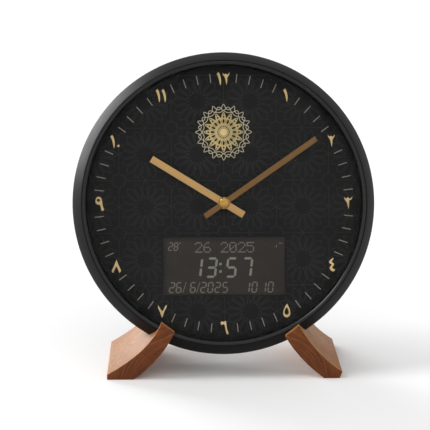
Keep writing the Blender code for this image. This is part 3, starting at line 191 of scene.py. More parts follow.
def mount(
    obj: bpy.types.Object,
    body: Body,
    material: bpy.types.Material,
    replaces: Sequence[str] = (),
) -> None:
    """Gives a finished piece its material, its body and the nodes that it stands for.

    Args:
        obj: The finished piece.
        body: The body that it moves with.
        material: The piece's material.
        replaces: The CAD nodes that it stands for.
    """
    obj.data.materials.clear()
    obj.data.materials.append(material)
    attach(obj, body.value)
    if replaces:
        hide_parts(*replaces)
    log.info("%s: %d faces on %s", obj.name, len(obj.data.polygons), body.value)


def paint_nodes(names: Iterable[str], material: bpy.types.Material) -> None:
    """Gives CAD nodes a finished material.

    Args:
        names: The nodes to paint.
        material: Their material.
    """
    for name in names:
        node = frame["nodes"][name]
        for slot in node.material_slots:
            slot.material = material
        log.info("%s: painted %s", name, material.name)


def mesh_from(
    name: str,
    points: Sequence[Sequence[float]],
    edges: Sequence[tuple[int, int]],
    faces: Sequence[tuple[int, ...]],
) -> bpy.types.Object:
    """Makes an object from points, edges and faces.

    Args:
        name: The object's name.
        points: Its points.
        edges: Pairs of point numbers.
        faces: Tuples of point numbers.

    Returns:
        The new object.
    """
    mesh = bpy.data.meshes.new(name)
    mesh.from_pydata(points, edges, faces)
    obj = bpy.data.objects.new(name, mesh)
    bpy.context.scene.collection.objects.link(obj)
    return obj


def turned(name: str, profile: Sequence[Point], steps: int, closed: bool = True) -> bpy.types.Object:
    """Turns a profile about the hand shaft's axis.

    Args:
        name: The object's name.
        profile: Points as radius and depth.
        steps: Faces round the turn.
        closed: Whether the last point joins the first.

    Returns:
        The turned object, in the face frame.
    """
    points = [(radius, depth, 0.0) for radius, depth in profile]
    count = len(points)
    edges = [(i, (i + 1) % count) for i in range(count if closed else count - 1)]
    obj = mesh_from(name, points, edges, [])
    apply_modifier(
        obj,
        "SCREW",
        axis="Y",
        steps=steps,
        render_steps=steps,
        use_merge_vertices=True,
        merge_threshold=0.000001,
    )
    tidy_mesh(obj)
    smooth(obj)
    return obj


def plate(name: str, loops: Sequence[Sequence[Point]], front: float, rear: float) -> bpy.types.Object:
    """Cuts a flat plate to closed outlines; a loop inside another is a hole.

    Args:
        name: The object's name.
        loops: Outlines in the face plane.
        front: Depth of the front face.
        rear: Depth of the rear face.

    Returns:
        The plate as a mesh, in the face frame.
    """
    curve = bpy.data.curves.new(name, "CURVE")
    curve.dimensions = "2D"
    curve.fill_mode = "BOTH"
    curve.extrude = (rear - front) / 2
    for loop in loops:
        spline = curve.splines.new("POLY")
        spline.points.add(len(loop) - 1)
        for point, (x, z) in zip(spline.points, loop):
            point.co = (x, z, 0.0, 1.0)
        spline.use_cyclic_u = True
    obj = bpy.data.objects.new(name, curve)
    bpy.context.scene.collection.objects.link(obj)
    pick(obj)
    bpy.ops.object.convert(target="MESH")
    obj = bpy.context.object
    upright = Matrix.Rotation(math.pi / 2, 4, "X")
    settle(obj, Matrix.Translation((0.0, (front + rear) / 2, 0.0)) @ upright)
    tidy_mesh(obj)
    return obj


def quarter_turn(steps: int) -> list[float]:
    """Gives evenly spaced angles from nought to a quarter turn."""
    return [math.pi / 2 * step / steps for step in range(steps + 1)]


def flowing(points: Sequence[Point], steps: int = 4, corner: float = 180.0) -> list[Point]:
    """Runs a smooth closed line through points.

    Args:
        points: The points that the line passes.
        steps: New points to each span.
        corner: Where the points turn by more than this, in degrees, the line keeps a sharp corner.

    Returns:
        The points of the smooth line.
    """
    count = len(points)
    path = [Vector(point) for point in points]
    slopes = []
    for i, here in enumerate(path):
        before, after = path[i - 1], path[(i + 1) % count]
        sharp = (here - before).angle(after - here, 0.0) > math.radians(corner)
        slopes.append(Vector((0.0, 0.0)) if sharp else (after - before) / 2)
    line = []
    for i in range(count):
        start, end = path[i], path[(i + 1) % count]
        for step in range(steps):
            t = step / steps
            lead = slopes[i] * (t - 2 * t * t + t**3) + slopes[(i + 1) % count] * (t**3 - t * t)
            point = start + (end - start) * (3 * t * t - 2 * t**3) + lead
            line.append((point.x, point.y))
    return line


def drawn_in(line: Sequence[Point], amount: float) -> list[Point]:
    """Moves a closed line inwards all round.

    Args:
        line: The closed line.
        amount: How far it moves; a negative amount moves it outwards.

    Returns:
        The moved line.
    """
    count = len(line)
    area = sum(line[i - 1][0] * line[i][1] - line[i][0] * line[i - 1][1] for i in range(count))
    reach = amount if area > 0 else -amount
    moved = []
    for i, (x, z) in enumerate(line):
        before, after = line[i - 1], line[(i + 1) % count]
        along = Vector((after[0] - before[0], after[1] - before[1])).normalized()
        moved.append((x - along.y * reach, z + along.x * reach))
    return moved


def oval(across: float, along: float, distance: float, angle: float, steps: int = 10) -> list[Point]:
    """Draws an oval that points away from a middle.

    Args:
        across: Half its width.
        along: Half its length.
        distance: How far from the middle it lies.
        angle: Its direction from the middle, clockwise from the top.
        steps: Its number of points.

    Returns:
        The closed line.
    """
    turn = Matrix.Rotation(-angle, 2)
    line = []
    for step in range(steps):
        share = math.tau * step / steps
        point = turn @ Vector((across * math.cos(share), distance + along * math.sin(share)))
        line.append((point.x, point.y))
    return line


def ribbons(
    name: str, lines: Sequence[Sequence[Point]], width: float, depth: float
) -> bpy.types.Object:
    """Lays flat ribbons along closed lines in the face plane.

    Args:
        name: The object's name.
        lines: The middle lines of the ribbons.
        width: Width of each ribbon.
        depth: Depth of the plane that they lie in.

    Returns:
        One mesh of all the ribbons, facing the front.
    """
    points: list[tuple[float, float, float]] = []
    faces: list[tuple[int, ...]] = []
    for line in lines:
        count = len(line)
        base = len(points)
        for i, here in enumerate(line):
            before = line[i - 1]
            after = line[(i + 1) % count]
            along = Vector((after[0] - before[0], after[1] - before[1])).normalized()
            side = Vector((-along.y, along.x)) * (width / 2)
            points.append((here[0] + side.x, depth, here[1] + side.y))
            points.append((here[0] - side.x, depth, here[1] - side.y))
        for i in range(count):
            a = base + 2 * i
            b = base + 2 * ((i + 1) % count)
            faces.append((a, a + 1, b + 1, b))
    return mesh_from(name, points, [], faces)


# Shader groups shared by the finishes


class Graph:
    """Adds and joins the nodes of one node tree."""

    def __init__(self, tree: bpy.types.NodeTree) -> None:
        """Starts on a node tree.

        Args:
            tree: The tree that gets the nodes.
        """
        self.tree = tree

    def add(self, kind: str, inputs: dict | None = None, **settings: object) -> bpy.types.Node:
        """Adds a node.

        Args:
            kind: The node's type, without its prefix.
            inputs: Values or sockets for its inputs, by name or number.
            settings: The node's own settings.

        Returns:
            The new node.
        """
        node = self.tree.nodes.new("ShaderNode" + kind)
        for key, value in settings.items():
            setattr(node, key, value)
        for key, value in (inputs or {}).items():
            if isinstance(value, bpy.types.NodeSocket):
                self.tree.links.new(value, node.inputs[key])
            else:
                node.inputs[key].default_value = value
        return node

    def blend(self, share: object, low: Colour, high: Colour) -> bpy.types.NodeSocket:
        """Mixes two colours.

        Args:
            share: How much of the second colour, as a value or a socket.
            low: The first colour.
            high: The second colour.

        Returns:
            The mixed colour's socket.
        """
        node = self.add("Mix", data_type="RGBA", clamp_factor=True)
        for index, value in ((0, share), (6, low), (7, high)):
            if isinstance(value, bpy.types.NodeSocket):
                self.tree.links.new(value, node.inputs[index])
            elif isinstance(value, tuple):
                node.inputs[index].default_value = (*value, 1.0)
            else:
                node.inputs[index].default_value = value
        return node.outputs[2]

    def spread(self, value: bpy.types.NodeSocket, low: float, high: float) -> bpy.types.NodeSocket:
        """Maps a value from nought to one onto a range.

        Args:
            value: The value's socket.
            low: Result at nought.
            high: Result at one.

        Returns:
            The mapped value's socket.
        """
        node = self.add("MapRange", {0: value, 3: low, 4: high}, clamp=True)
        return node.outputs[0]

    def maths(self, operation: str, first: object, second: object = 0.0) -> bpy.types.NodeSocket:
        """Does one sum.

        Args:
            operation: The sum's name.
            first: Its first value.
            second: Its second value.

        Returns:
            The result's socket.
        """
        return self.add("Math", {0: first, 1: second}, operation=operation).outputs[0]

    def stretch(self, where: bpy.types.NodeSocket, scales: Colour) -> bpy.types.NodeSocket:
        """Scales a place along each axis.

        Args:
            where: The place's socket.
            scales: The scale along each axis.

        Returns:
            The scaled place's socket.
        """
        return self.add("VectorMath", {0: where, 1: scales}, operation="MULTIPLY").outputs[0]


def new_group(
    name: str, inputs: dict[str, str], outputs: dict[str, str]
) -> tuple[bpy.types.NodeTree, Graph]:
    """Starts a shader group.

    Args:
        name: The group's name.
        inputs: Its inputs' names and socket types.
        outputs: Its outputs' names and socket types.

    Returns:
        The group and a graph to fill it.
    """
    tree = bpy.data.node_groups.new(name, "ShaderNodeTree")
    for label, kind in inputs.items():
        tree.interface.new_socket(label, in_out="INPUT", socket_type=kind)
    for label, kind in outputs.items():
        tree.interface.new_socket(label, in_out="OUTPUT", socket_type=kind)
    return tree, Graph(tree)


NUMBER, VECTOR, TINT = "NodeSocketFloat", "NodeSocketVector", "NodeSocketColor"


def moulded_group() -> bpy.types.NodeTree:
    """Builds the fine pitted skin of a moulding, with slow patches of sheen.

    Returns:
        The group.
    """
    tree, graph = new_group(
        "moulded_skin", {"Vector": VECTOR, "Fineness": NUMBER}, {"Height": NUMBER, "Patches": NUMBER}
    )
    source = tree.nodes.new("NodeGroupInput")
    target = tree.nodes.new("NodeGroupOutput")
    where, fineness = source.outputs[0:2]
    fine = graph.add("TexNoise", {"Vector": where, "Scale": fineness, "Detail": 3.0})
    broad = graph.add("TexNoise", {"Vector": where, "Scale": 38.0, "Detail": 4.0, "Roughness": 0.6})
    tree.links.new(fine.outputs[0], target.inputs[0])
    tree.links.new(graph.spread(broad.outputs[0], -0.6, 1.6), target.inputs[1])
    return tree


def drawn_group() -> bpy.types.NodeTree:
    """Builds the fine streaks of drawn or brushed metal, which run along the first axis.

    Returns:
        The group.
    """
    tree, graph = new_group(
        "drawn_metal", {"Vector": VECTOR, "Fineness": NUMBER}, {"Height": NUMBER, "Streaks": NUMBER}
    )
    source = tree.nodes.new("NodeGroupInput")
    target = tree.nodes.new("NodeGroupOutput")
    where, fineness = source.outputs[0:2]
    long = graph.stretch(where, (0.02, 1.0, 1.0))
    streak = graph.add("TexNoise", {"Vector": long, "Scale": fineness, "Detail": 4.0})
    broad = graph.add("TexNoise", {"Vector": where, "Scale": 90.0, "Detail": 2.0})
    slow = graph.maths("MULTIPLY", broad.outputs[0], 0.3)
    both = graph.add(
        "Math", {0: streak.outputs[0], 1: 0.7, 2: slow}, operation="MULTIPLY_ADD"
    ).outputs[0]
    tree.links.new(streak.outputs[0], target.inputs[0])
    tree.links.new(graph.spread(both, -0.5, 1.5), target.inputs[1])
    return tree


def wood_group() -> bpy.types.NodeTree:
    """Builds hardwood grain that runs along the first axis: growth bands, fine fibres and open pores.

    Returns:
        The group.
    """
    tree, graph = new_group(
        "hardwood",
        {"Vector": VECTOR, "Light": TINT, "Mid": TINT, "Dark": TINT},
        {"Colour": TINT, "Height": NUMBER},
    )
    source = tree.nodes.new("NodeGroupInput")
    target = tree.nodes.new("NodeGroupOutput")
    where, light, mid, dark = source.outputs[0:4]
    drawn = graph.stretch(where, (9.0, 70.0, 55.0))
    wander = graph.add("TexNoise", {"Vector": drawn, "Scale": 0.8, "Detail": 3.0})
    pushed = graph.add(
        "VectorMath", {0: wander.outputs[1], 1: (0.0, 2.4, 2.4), 2: drawn}, operation="MULTIPLY_ADD"
    )
    bands = graph.add(
        "TexWave", {"Vector": pushed.outputs[0], "Scale": 1.1, "Distortion": 1.6, "Detail": 2.0},
        bands_direction="Y", wave_profile="SAW",
    )
    fibre_space = graph.stretch(where, (60.0, 1900.0, 1500.0))
    fibres = graph.add(
        "TexNoise", {"Vector": fibre_space, "Scale": 1.0, "Detail": 5.0, "Roughness": 0.7}
    )
    pore_space = graph.stretch(where, (210.0, 1700.0, 1500.0))
    pores = graph.add("TexVoronoi", {"Vector": pore_space, "Scale": 1.0})
    pits = graph.maths("LESS_THAN", pores.outputs[0], 0.20)
    slow = graph.add("TexNoise", {"Vector": where, "Scale": 26.0, "Detail": 2.0})
    tone = graph.blend(graph.spread(slow.outputs[0], -0.9, 1.9), light, mid)
    grown = graph.blend(graph.maths("MULTIPLY", bands.outputs[1], 0.55), tone, dark)
    fibre_share = graph.maths("MULTIPLY", graph.spread(fibres.outputs[0], -0.8, 1.7), 0.7)
    fine = graph.blend(fibre_share, grown, dark)
    pitted = graph.blend(graph.maths("MULTIPLY", pits, 0.8), fine, dark)
    raised = graph.maths("MULTIPLY", fibres.outputs[0], 0.5)
    height = graph.maths("SUBTRACT", raised, graph.maths("MULTIPLY", pits, 0.6))
    tree.links.new(pitted, target.inputs[0])
    tree.links.new(height, target.inputs[1])
    return tree


GROUPS = {"moulded": moulded_group(), "drawn": drawn_group(), "wood": wood_group()}


def start_material(name: str) -> tuple[bpy.types.Material, Graph, bpy.types.Node]:
    """Starts a material with a Principled shader.

    Args:
        name: The material's name.

    Returns:
        The material, its graph and the shader.
    """
    material = bpy.data.materials.new(name)
    material.use_nodes = True
    return material, Graph(material.node_tree), material.node_tree.nodes["Principled BSDF"]


def place_group(graph: Graph, name: str, **inputs: object) -> bpy.types.Node:
    """Places a shared group in a material.

    Args:
        graph: The material's graph.
        name: Which group.
        inputs: Values or sockets for its inputs.

    Returns:
        The group's node.
    """
    node = graph.add("Group", node_tree=GROUPS[name])
    for key, value in inputs.items():
        if isinstance(value, bpy.types.NodeSocket):
            graph.tree.links.new(value, node.inputs[key])
        elif isinstance(value, tuple):
            is_tint = len(node.inputs[key].default_value) == 4
            node.inputs[key].default_value = (*value, 1.0) if is_tint else value
        else:
            node.inputs[key].default_value = value
    return node


def add_bump(
    graph: Graph, shader: bpy.types.Node, height: bpy.types.NodeSocket, depth: float, strength: float
) -> None:
    """Feeds a height to a shader through a bump.

    Args:
        graph: The material's graph.
        shader: The Principled shader.
        height: The height's socket.
        depth: Real depth of the relief.
        strength: Strength of the effect.
    """
    bump = graph.add("Bump", {"Height": height, "Distance": depth, "Strength": strength})
    graph.tree.links.new(bump.outputs[0], shader.inputs["Normal"])


# Finishes


@dataclass(frozen=True)
class Plastic:
    """Moulded plastic, rubber or printed film with a fine skin."""

    name: str
    colour: Colour
    roughness: float = 0.45
    sheen_change: float = 0.08
    specular: float = 0.5
    fineness: float = 2600.0
    relief: float = 0.00006
    strength: float = 0.35
    shade_change: float = 0.14

    def material(self) -> bpy.types.Material:
        """Builds the material.

        Returns:
            The material.
        """
        material, graph, shader = start_material(self.name)
        where = graph.add("TexCoord").outputs["Object"]
        skin = place_group(graph, "moulded", Vector=where, Fineness=self.fineness)
        low = tuple(c * (1.0 - self.shade_change) for c in self.colour)
        high = tuple(min(c * (1.0 + self.shade_change), 1.0) for c in self.colour)
        link = graph.tree.links.new
        link(graph.blend(skin.outputs["Patches"], low, high), shader.inputs["Base Color"])
        rough = (self.roughness - self.sheen_change, self.roughness + self.sheen_change)
        link(graph.spread(skin.outputs["Patches"], *rough), shader.inputs["Roughness"])
        shader.inputs["Specular IOR Level"].default_value = self.specular
        add_bump(graph, shader, skin.outputs["Height"], self.relief, self.strength)
        return material


@dataclass(frozen=True)
class Metal:
    """Drawn, brushed or polished metal."""

    name: str
    colour: Colour
    roughness: float = 0.3
    streak_change: float = 0.08
    fineness: float = 5200.0
    turn: float = 0.0
    relief: float = 0.00003
    strength: float = 0.25
    shade_change: float = 0.16
    metallic: float = 1.0

    def material(self) -> bpy.types.Material:
        """Builds the material, with its streaks turned about the hand shaft.

        Returns:
            The material.
        """
        material, graph, shader = start_material(self.name)
        where = graph.add("TexCoord").outputs["Object"]
        turned_space = graph.add("Mapping", {"Vector": where, "Rotation": (0.0, self.turn, 0.0)})
        metal = place_group(graph, "drawn", Vector=turned_space.outputs[0], Fineness=self.fineness)
        low = tuple(c * (1.0 - self.shade_change) for c in self.colour)
        high = tuple(min(c * (1.0 + self.shade_change), 1.0) for c in self.colour)
        link = graph.tree.links.new
        link(graph.blend(metal.outputs["Streaks"], low, high), shader.inputs["Base Color"])
        rough = (max(self.roughness - self.streak_change, 0.02), self.roughness + self.streak_change)
        link(graph.spread(metal.outputs["Streaks"], *rough), shader.inputs["Roughness"])
        shader.inputs["Metallic"].default_value = self.metallic
        add_bump(graph, shader, metal.outputs["Height"], self.relief, self.strength)
        return material


@dataclass(frozen=True)
class Wood:
    """Oiled hardwood whose grain follows the board's own attribute."""

    name: str
    light: Colour
    mid: Colour
    dark: Colour
    roughness: float = 0.42
    duller: float = 0.12
    glossier: float = 0.10
    specular: float = 0.12
    relief: float = 0.00012
    strength: float = 0.5

    def material(self) -> bpy.types.Material:
        """Builds the material.

        Returns:
            The material.
        """
        material, graph, shader = start_material(self.name)
        where = graph.add("Attribute", attribute_name="board").outputs["Vector"]
        grain = place_group(graph, "wood", Vector=where, Light=self.light, Mid=self.mid, Dark=self.dark)
        link = graph.tree.links.new
        link(grain.outputs["Colour"], shader.inputs["Base Color"])
        rough = (self.roughness + self.duller, self.roughness - self.glossier)
        link(graph.spread(grain.outputs["Height"], *rough), shader.inputs["Roughness"])
        shader.inputs["Specular IOR Level"].default_value = self.specular
        add_bump(graph, shader, grain.outputs["Height"], self.relief, self.strength)
        return material


@dataclass(frozen=True)
class Glass:
    """Clear flat glass that lets light and shadows through."""

    name: str
    tint: Colour = (0.97, 0.98, 0.98)
    roughness: float = 0.02
    ior: float = 1.01

    def material(self) -> bpy.types.Material:
        """Builds the material.

        Returns:
            The material.
        """
        material, graph, shader = start_material(self.name)
        shader.inputs["Transmission Weight"].default_value = 1.0
        shader.inputs["IOR"].default_value = self.ior
        where = graph.add("TexCoord").outputs["Object"]
        skin = place_group(graph, "moulded", Vector=where, Fineness=60.0)
        link = graph.tree.links.new
        faint = tuple(c * 0.985 for c in self.tint)
        link(graph.blend(skin.outputs["Patches"], faint, self.tint), shader.inputs["Base Color"])
        rough = (self.roughness, self.roughness * 2)
        link(graph.spread(skin.outputs["Patches"], *rough), shader.inputs["Roughness"])
        path = graph.add("LightPath")
        clear = graph.add("BsdfTransparent", {"Color": (*self.tint, 1.0)})
        unseen = graph.maths("MAXIMUM", path.outputs["Is Shadow Ray"], path.outputs["Is Diffuse Ray"])
        unseen = graph.maths("MAXIMUM", unseen, path.outputs["Is Glossy Ray"])
        mixed = graph.add("MixShader", {0: unseen, 1: shader.outputs[0], 2: clear.outputs[0]})
        link(mixed.outputs[0], graph.tree.nodes["Material Output"].inputs["Surface"])
        return material


# Case


@dataclass
class Case:
    """The flared tub, the ring that holds the lens, and the lens."""

    radius: float = 0.125
    face_radius: float = 0.1164
    pocket_radius: float = 0.1160
    opening_radius: float = 0.1126
    widest: float = 0.0080
    face_front: float = -0.0132
    rear: float = 0.0340
    wall: float = 0.0030
    rebate_wall: float = 0.0016
    rebate_depth: float = 0.0028
    lens_seat: float = -0.0098
    lens_front: float = -0.0121
    ring_front: float = -0.0139
    ring_bore: float = 0.1130
    ring_outer: float = 0.1149
    steps: int = 256

    def build_tub(self) -> bpy.types.Object:
        """Turns the tub with its rounded front edge, flare and rolled rear edge.

        Returns:
            The tub.
        """
        edge = 0.0003
        roll = 0.0010
        rear_roll = [
            (self.radius - roll + roll * math.cos(a), self.rear - roll + roll * math.sin(a))
            for a in quarter_turn(6)
        ]
        shoulder = [
            (self.face_radius + 0.0004, self.face_front + 0.0007),
            (self.radius - 0.0012, self.widest - 0.0030),
            (self.radius - 0.0004, self.widest - 0.0008),
            (self.radius - 0.0001, self.widest + 0.0010),
            (self.radius, self.widest + 0.0028),
        ]
        profile = [
            (self.pocket_radius, self.lens_seat),
            (self.pocket_radius, self.face_front + edge / 2),
            (self.pocket_radius + edge / 4, self.face_front),
            (self.face_radius, self.face_front + edge / 4),
            *shoulder,
            *rear_roll,
            (self.radius - self.rebate_wall, self.rear),
            (self.radius - self.rebate_wall, self.rear - self.rebate_depth),
            (self.radius - self.wall, self.rear - self.rebate_depth),
            (self.radius - self.wall, self.widest),
            (self.opening_radius + 0.0022, self.lens_seat + 0.0022),
            (self.opening_radius + 0.0020, -TOUCH_GAP),
            (self.opening_radius, -TOUCH_GAP),
            (self.opening_radius, self.lens_seat + edge),
            (self.opening_radius + edge, self.lens_seat),
        ]
        return turned("case_shell", profile, self.steps)

    def build_ring(self) -> bpy.types.Object:
        """Turns the lens ring, whose front slopes in towards the lens.

        Returns:
            The ring.
        """
        back = self.lens_front - TOUCH_GAP
        foot = 0.0006
        profile = [
            (self.ring_bore, back),
            (self.ring_bore, back - 0.0003),
            (self.ring_bore + 0.0001, back - 0.0004),
            (self.ring_outer - 0.0007, self.ring_front + 0.0001),
            (self.ring_outer - 0.0004, self.ring_front),
            (self.ring_outer - 0.0001, self.ring_front + 0.0001),
            (self.ring_outer, self.ring_front + 0.0004),
            (self.ring_outer, back - foot),
            (self.pocket_radius - TOUCH_GAP, back - foot),
            (self.pocket_radius - TOUCH_GAP, back),
        ]
        return turned("lens_retainer", profile, self.steps)

    def build_lens(self) -> bpy.types.Object:
        """Turns the flat lens with its ground edge.

        Returns:
            The lens.
        """
        edge = 0.0003
        rim = self.pocket_radius - TOUCH_GAP
        back = self.lens_seat - TOUCH_GAP
        profile = [
            (0.0, self.lens_front),
            (rim - edge, self.lens_front),
            (rim, self.lens_front + edge),
            (rim, back - edge),
            (rim - edge, back),
            (0.0, back),
        ]
        return turned("clear_lens", profile, self.steps // 2, closed=False)

    def build(self) -> None:
        """Builds and finishes the case."""
        satin = Plastic(
            "case_satin", (0.010, 0.0092, 0.0092), roughness=0.43, sheen_change=0.03, specular=0.019,
            fineness=3200.0, relief=0.00001, strength=0.12,
        )
        gloss = Plastic(
            "ring_gloss", (0.007, 0.0065, 0.0065), roughness=0.25, sheen_change=0.03, specular=0.26,
            fineness=3600.0, relief=0.000005, strength=0.05,
        )
        parts = (
            (self.build_tub(), "black_plastic", satin.material(), "case_tub"),
            (self.build_ring(), "black_trim", gloss.material(), "lens_ring"),
            (self.build_lens(), "lens_glass", Glass("lens_clear").material(), "front_lens"),
        )
        for obj, slot, material, node in parts:
            settle(obj)
            mount(obj, Body.CLOCK, material, (node,))


# Dial print


class Numeral(Enum):
    """Outlines of the ten eastern numerals in millimetres, about the middle of each."""

    ZERO = (((0.0, 1.4), (1.4, 0.1), (0.1, -1.4), (-1.4, -0.1)),)
    ONE = (
        (
            (-0.6, 5.6), (-2.1, 3.7), (-1.2, 2.2), (-0.3, -0.6), (0.3, -3.4), (0.7, -5.6),
            (1.3, -5.6), (1.7, -3.2), (1.7, -0.6), (1.2, 2.0), (0.4, 4.3),
        ),
    )
    TWO = (
        (
            (-3.0, 4.8), (-1.6, 3.5), (-0.2, 3.9), (0.9, 3.1), (1.8, 3.9), (2.9, 5.4), (2.8, 3.4),
            (2.0, 1.9), (1.1, 0.5), (1.0, -2.0), (0.5, -5.1), (0.1, -5.5), (-0.4, -2.4), (-1.2, 0.5),
            (-2.3, 2.2), (-2.9, 3.4),
        ),
    )
    THREE = (
        (
            (-3.5, 4.8), (-2.4, 3.7), (-1.4, 3.6), (-0.2, 4.9), (0.6, 3.7), (1.6, 3.4), (2.6, 4.2),
            (3.5, 5.4), (3.3, 3.4), (2.4, 2.2), (1.0, 1.7), (0.9, -0.5), (0.8, -2.5), (0.4, -5.2),
            (0.0, -5.6), (-0.6, -2.8), (-1.3, -0.2), (-2.5, 1.8), (-3.3, 3.1),
        ),
    )
    FOUR = (
        (
            (1.0, 5.9), (1.4, 4.9), (0.4, 3.4), (-0.1, 2.5), (0.9, 1.7), (2.1, 0.7), (1.4, -0.8),
            (0.3, -1.9), (0.7, -2.8), (1.9, -3.5), (2.7, -3.7), (2.3, -4.9), (0.9, -5.7),
            (-0.5, -5.1), (-1.7, -3.7), (-2.1, -2.3), (-1.1, -1.0), (-0.3, 0.1), (-1.6, 0.9),
            (-2.7, 2.0), (-2.1, 3.2), (-0.6, 4.7),
        ),
    )
    FIVE = (
        (
            (0.3, 5.8), (1.5, 3.8), (2.7, 0.8), (3.1, -2.2), (2.4, -4.5), (0.1, -5.8), (-2.2, -4.7),
            (-3.1, -2.5), (-2.6, 0.5), (-1.0, 4.1),
        ),
        ((0.2, 2.7), (1.2, 0.3), (1.6, -1.7), (1.0, -2.9), (-0.1, -3.3), (-1.3, -2.7),
         (-1.7, -1.2), (-1.0, 1.1)),
    )
    SIX = (
        (
            (-3.3, 4.3), (-2.5, 5.2), (-0.9, 4.9), (0.5, 5.7), (1.4, 4.9), (1.7, 1.9), (2.1, -1.1),
            (3.3, -4.3), (2.7, -5.6), (1.7, -5.4), (0.9, -3.1), (0.4, -0.1), (-0.1, 1.9),
            (-1.1, 2.8), (-2.3, 2.1), (-3.1, 2.6),
        ),
    )
    SEVEN = (
        (
            (-3.5, 5.5), (-2.5, 4.0), (-1.3, 2.0), (0.1, 0.2), (1.3, 2.0), (2.3, 4.2), (3.5, 5.4),
            (3.9, 4.2), (3.0, 2.0), (1.7, -0.5), (0.9, -3.0), (0.1, -5.4), (-0.3, -5.2),
            (-1.3, -2.8), (-2.3, 0.0), (-3.5, 2.8),
        ),
    )
    EIGHT = (
        (
            (0.2, 5.7), (0.9, 3.5), (1.9, 1.0), (3.2, -1.8), (3.9, -3.6), (3.2, -5.2), (2.3, -5.6),
            (1.3, -3.2), (0.3, -0.8), (-0.3, -0.8), (-1.3, -3.2), (-2.4, -5.7), (-3.3, -5.4),
            (-3.9, -3.6), (-2.7, -1.4), (-1.5, 1.2), (-0.5, 3.8),
        ),
    )
    NINE = (
        (
            (-0.3, 5.8), (1.5, 4.9), (2.3, 2.7), (2.7, 0.0), (3.2, -2.7), (4.1, -4.6), (2.9, -6.0),
            (1.7, -5.8), (1.1, -3.1), (0.4, -1.1), (-0.9, -0.9), (-2.7, 0.0), (-3.3, 1.8),
            (-2.9, 4.0), (-1.8, 5.5),
        ),
        ((-0.7, 4.1), (0.4, 3.2), (0.2, 2.0), (-0.8, 1.7), (-1.7, 2.4), (-1.6, 3.6)),
    )


HOURS: dict[int, tuple[tuple[Numeral, float, float], ...]] = {
    1: ((Numeral.ONE, 0.0, 0.0),),
    2: ((Numeral.TWO, 0.0, 0.0),),
    3: ((Numeral.THREE, 0.0, 0.0),),
    4: ((Numeral.FOUR, 0.0, 0.0),),
    5: ((Numeral.FIVE, 0.0, 0.0),),
    6: ((Numeral.SIX, 0.0, 0.0),),
    7: ((Numeral.SEVEN, 0.0, 0.0),),
    8: ((Numeral.EIGHT, 0.0, 0.0),),
    9: ((Numeral.NINE, 0.0, 0.0),),
    10: ((Numeral.ONE, -2.4, 0.0), (Numeral.ZERO, 2.2, -3.8)),
    11: ((Numeral.ONE, -2.5, 0.0), (Numeral.ONE, 2.3, 0.0)),
    12: ((Numeral.ONE, -3.5, 0.0), (Numeral.TWO, 2.3, 0.2)),
}


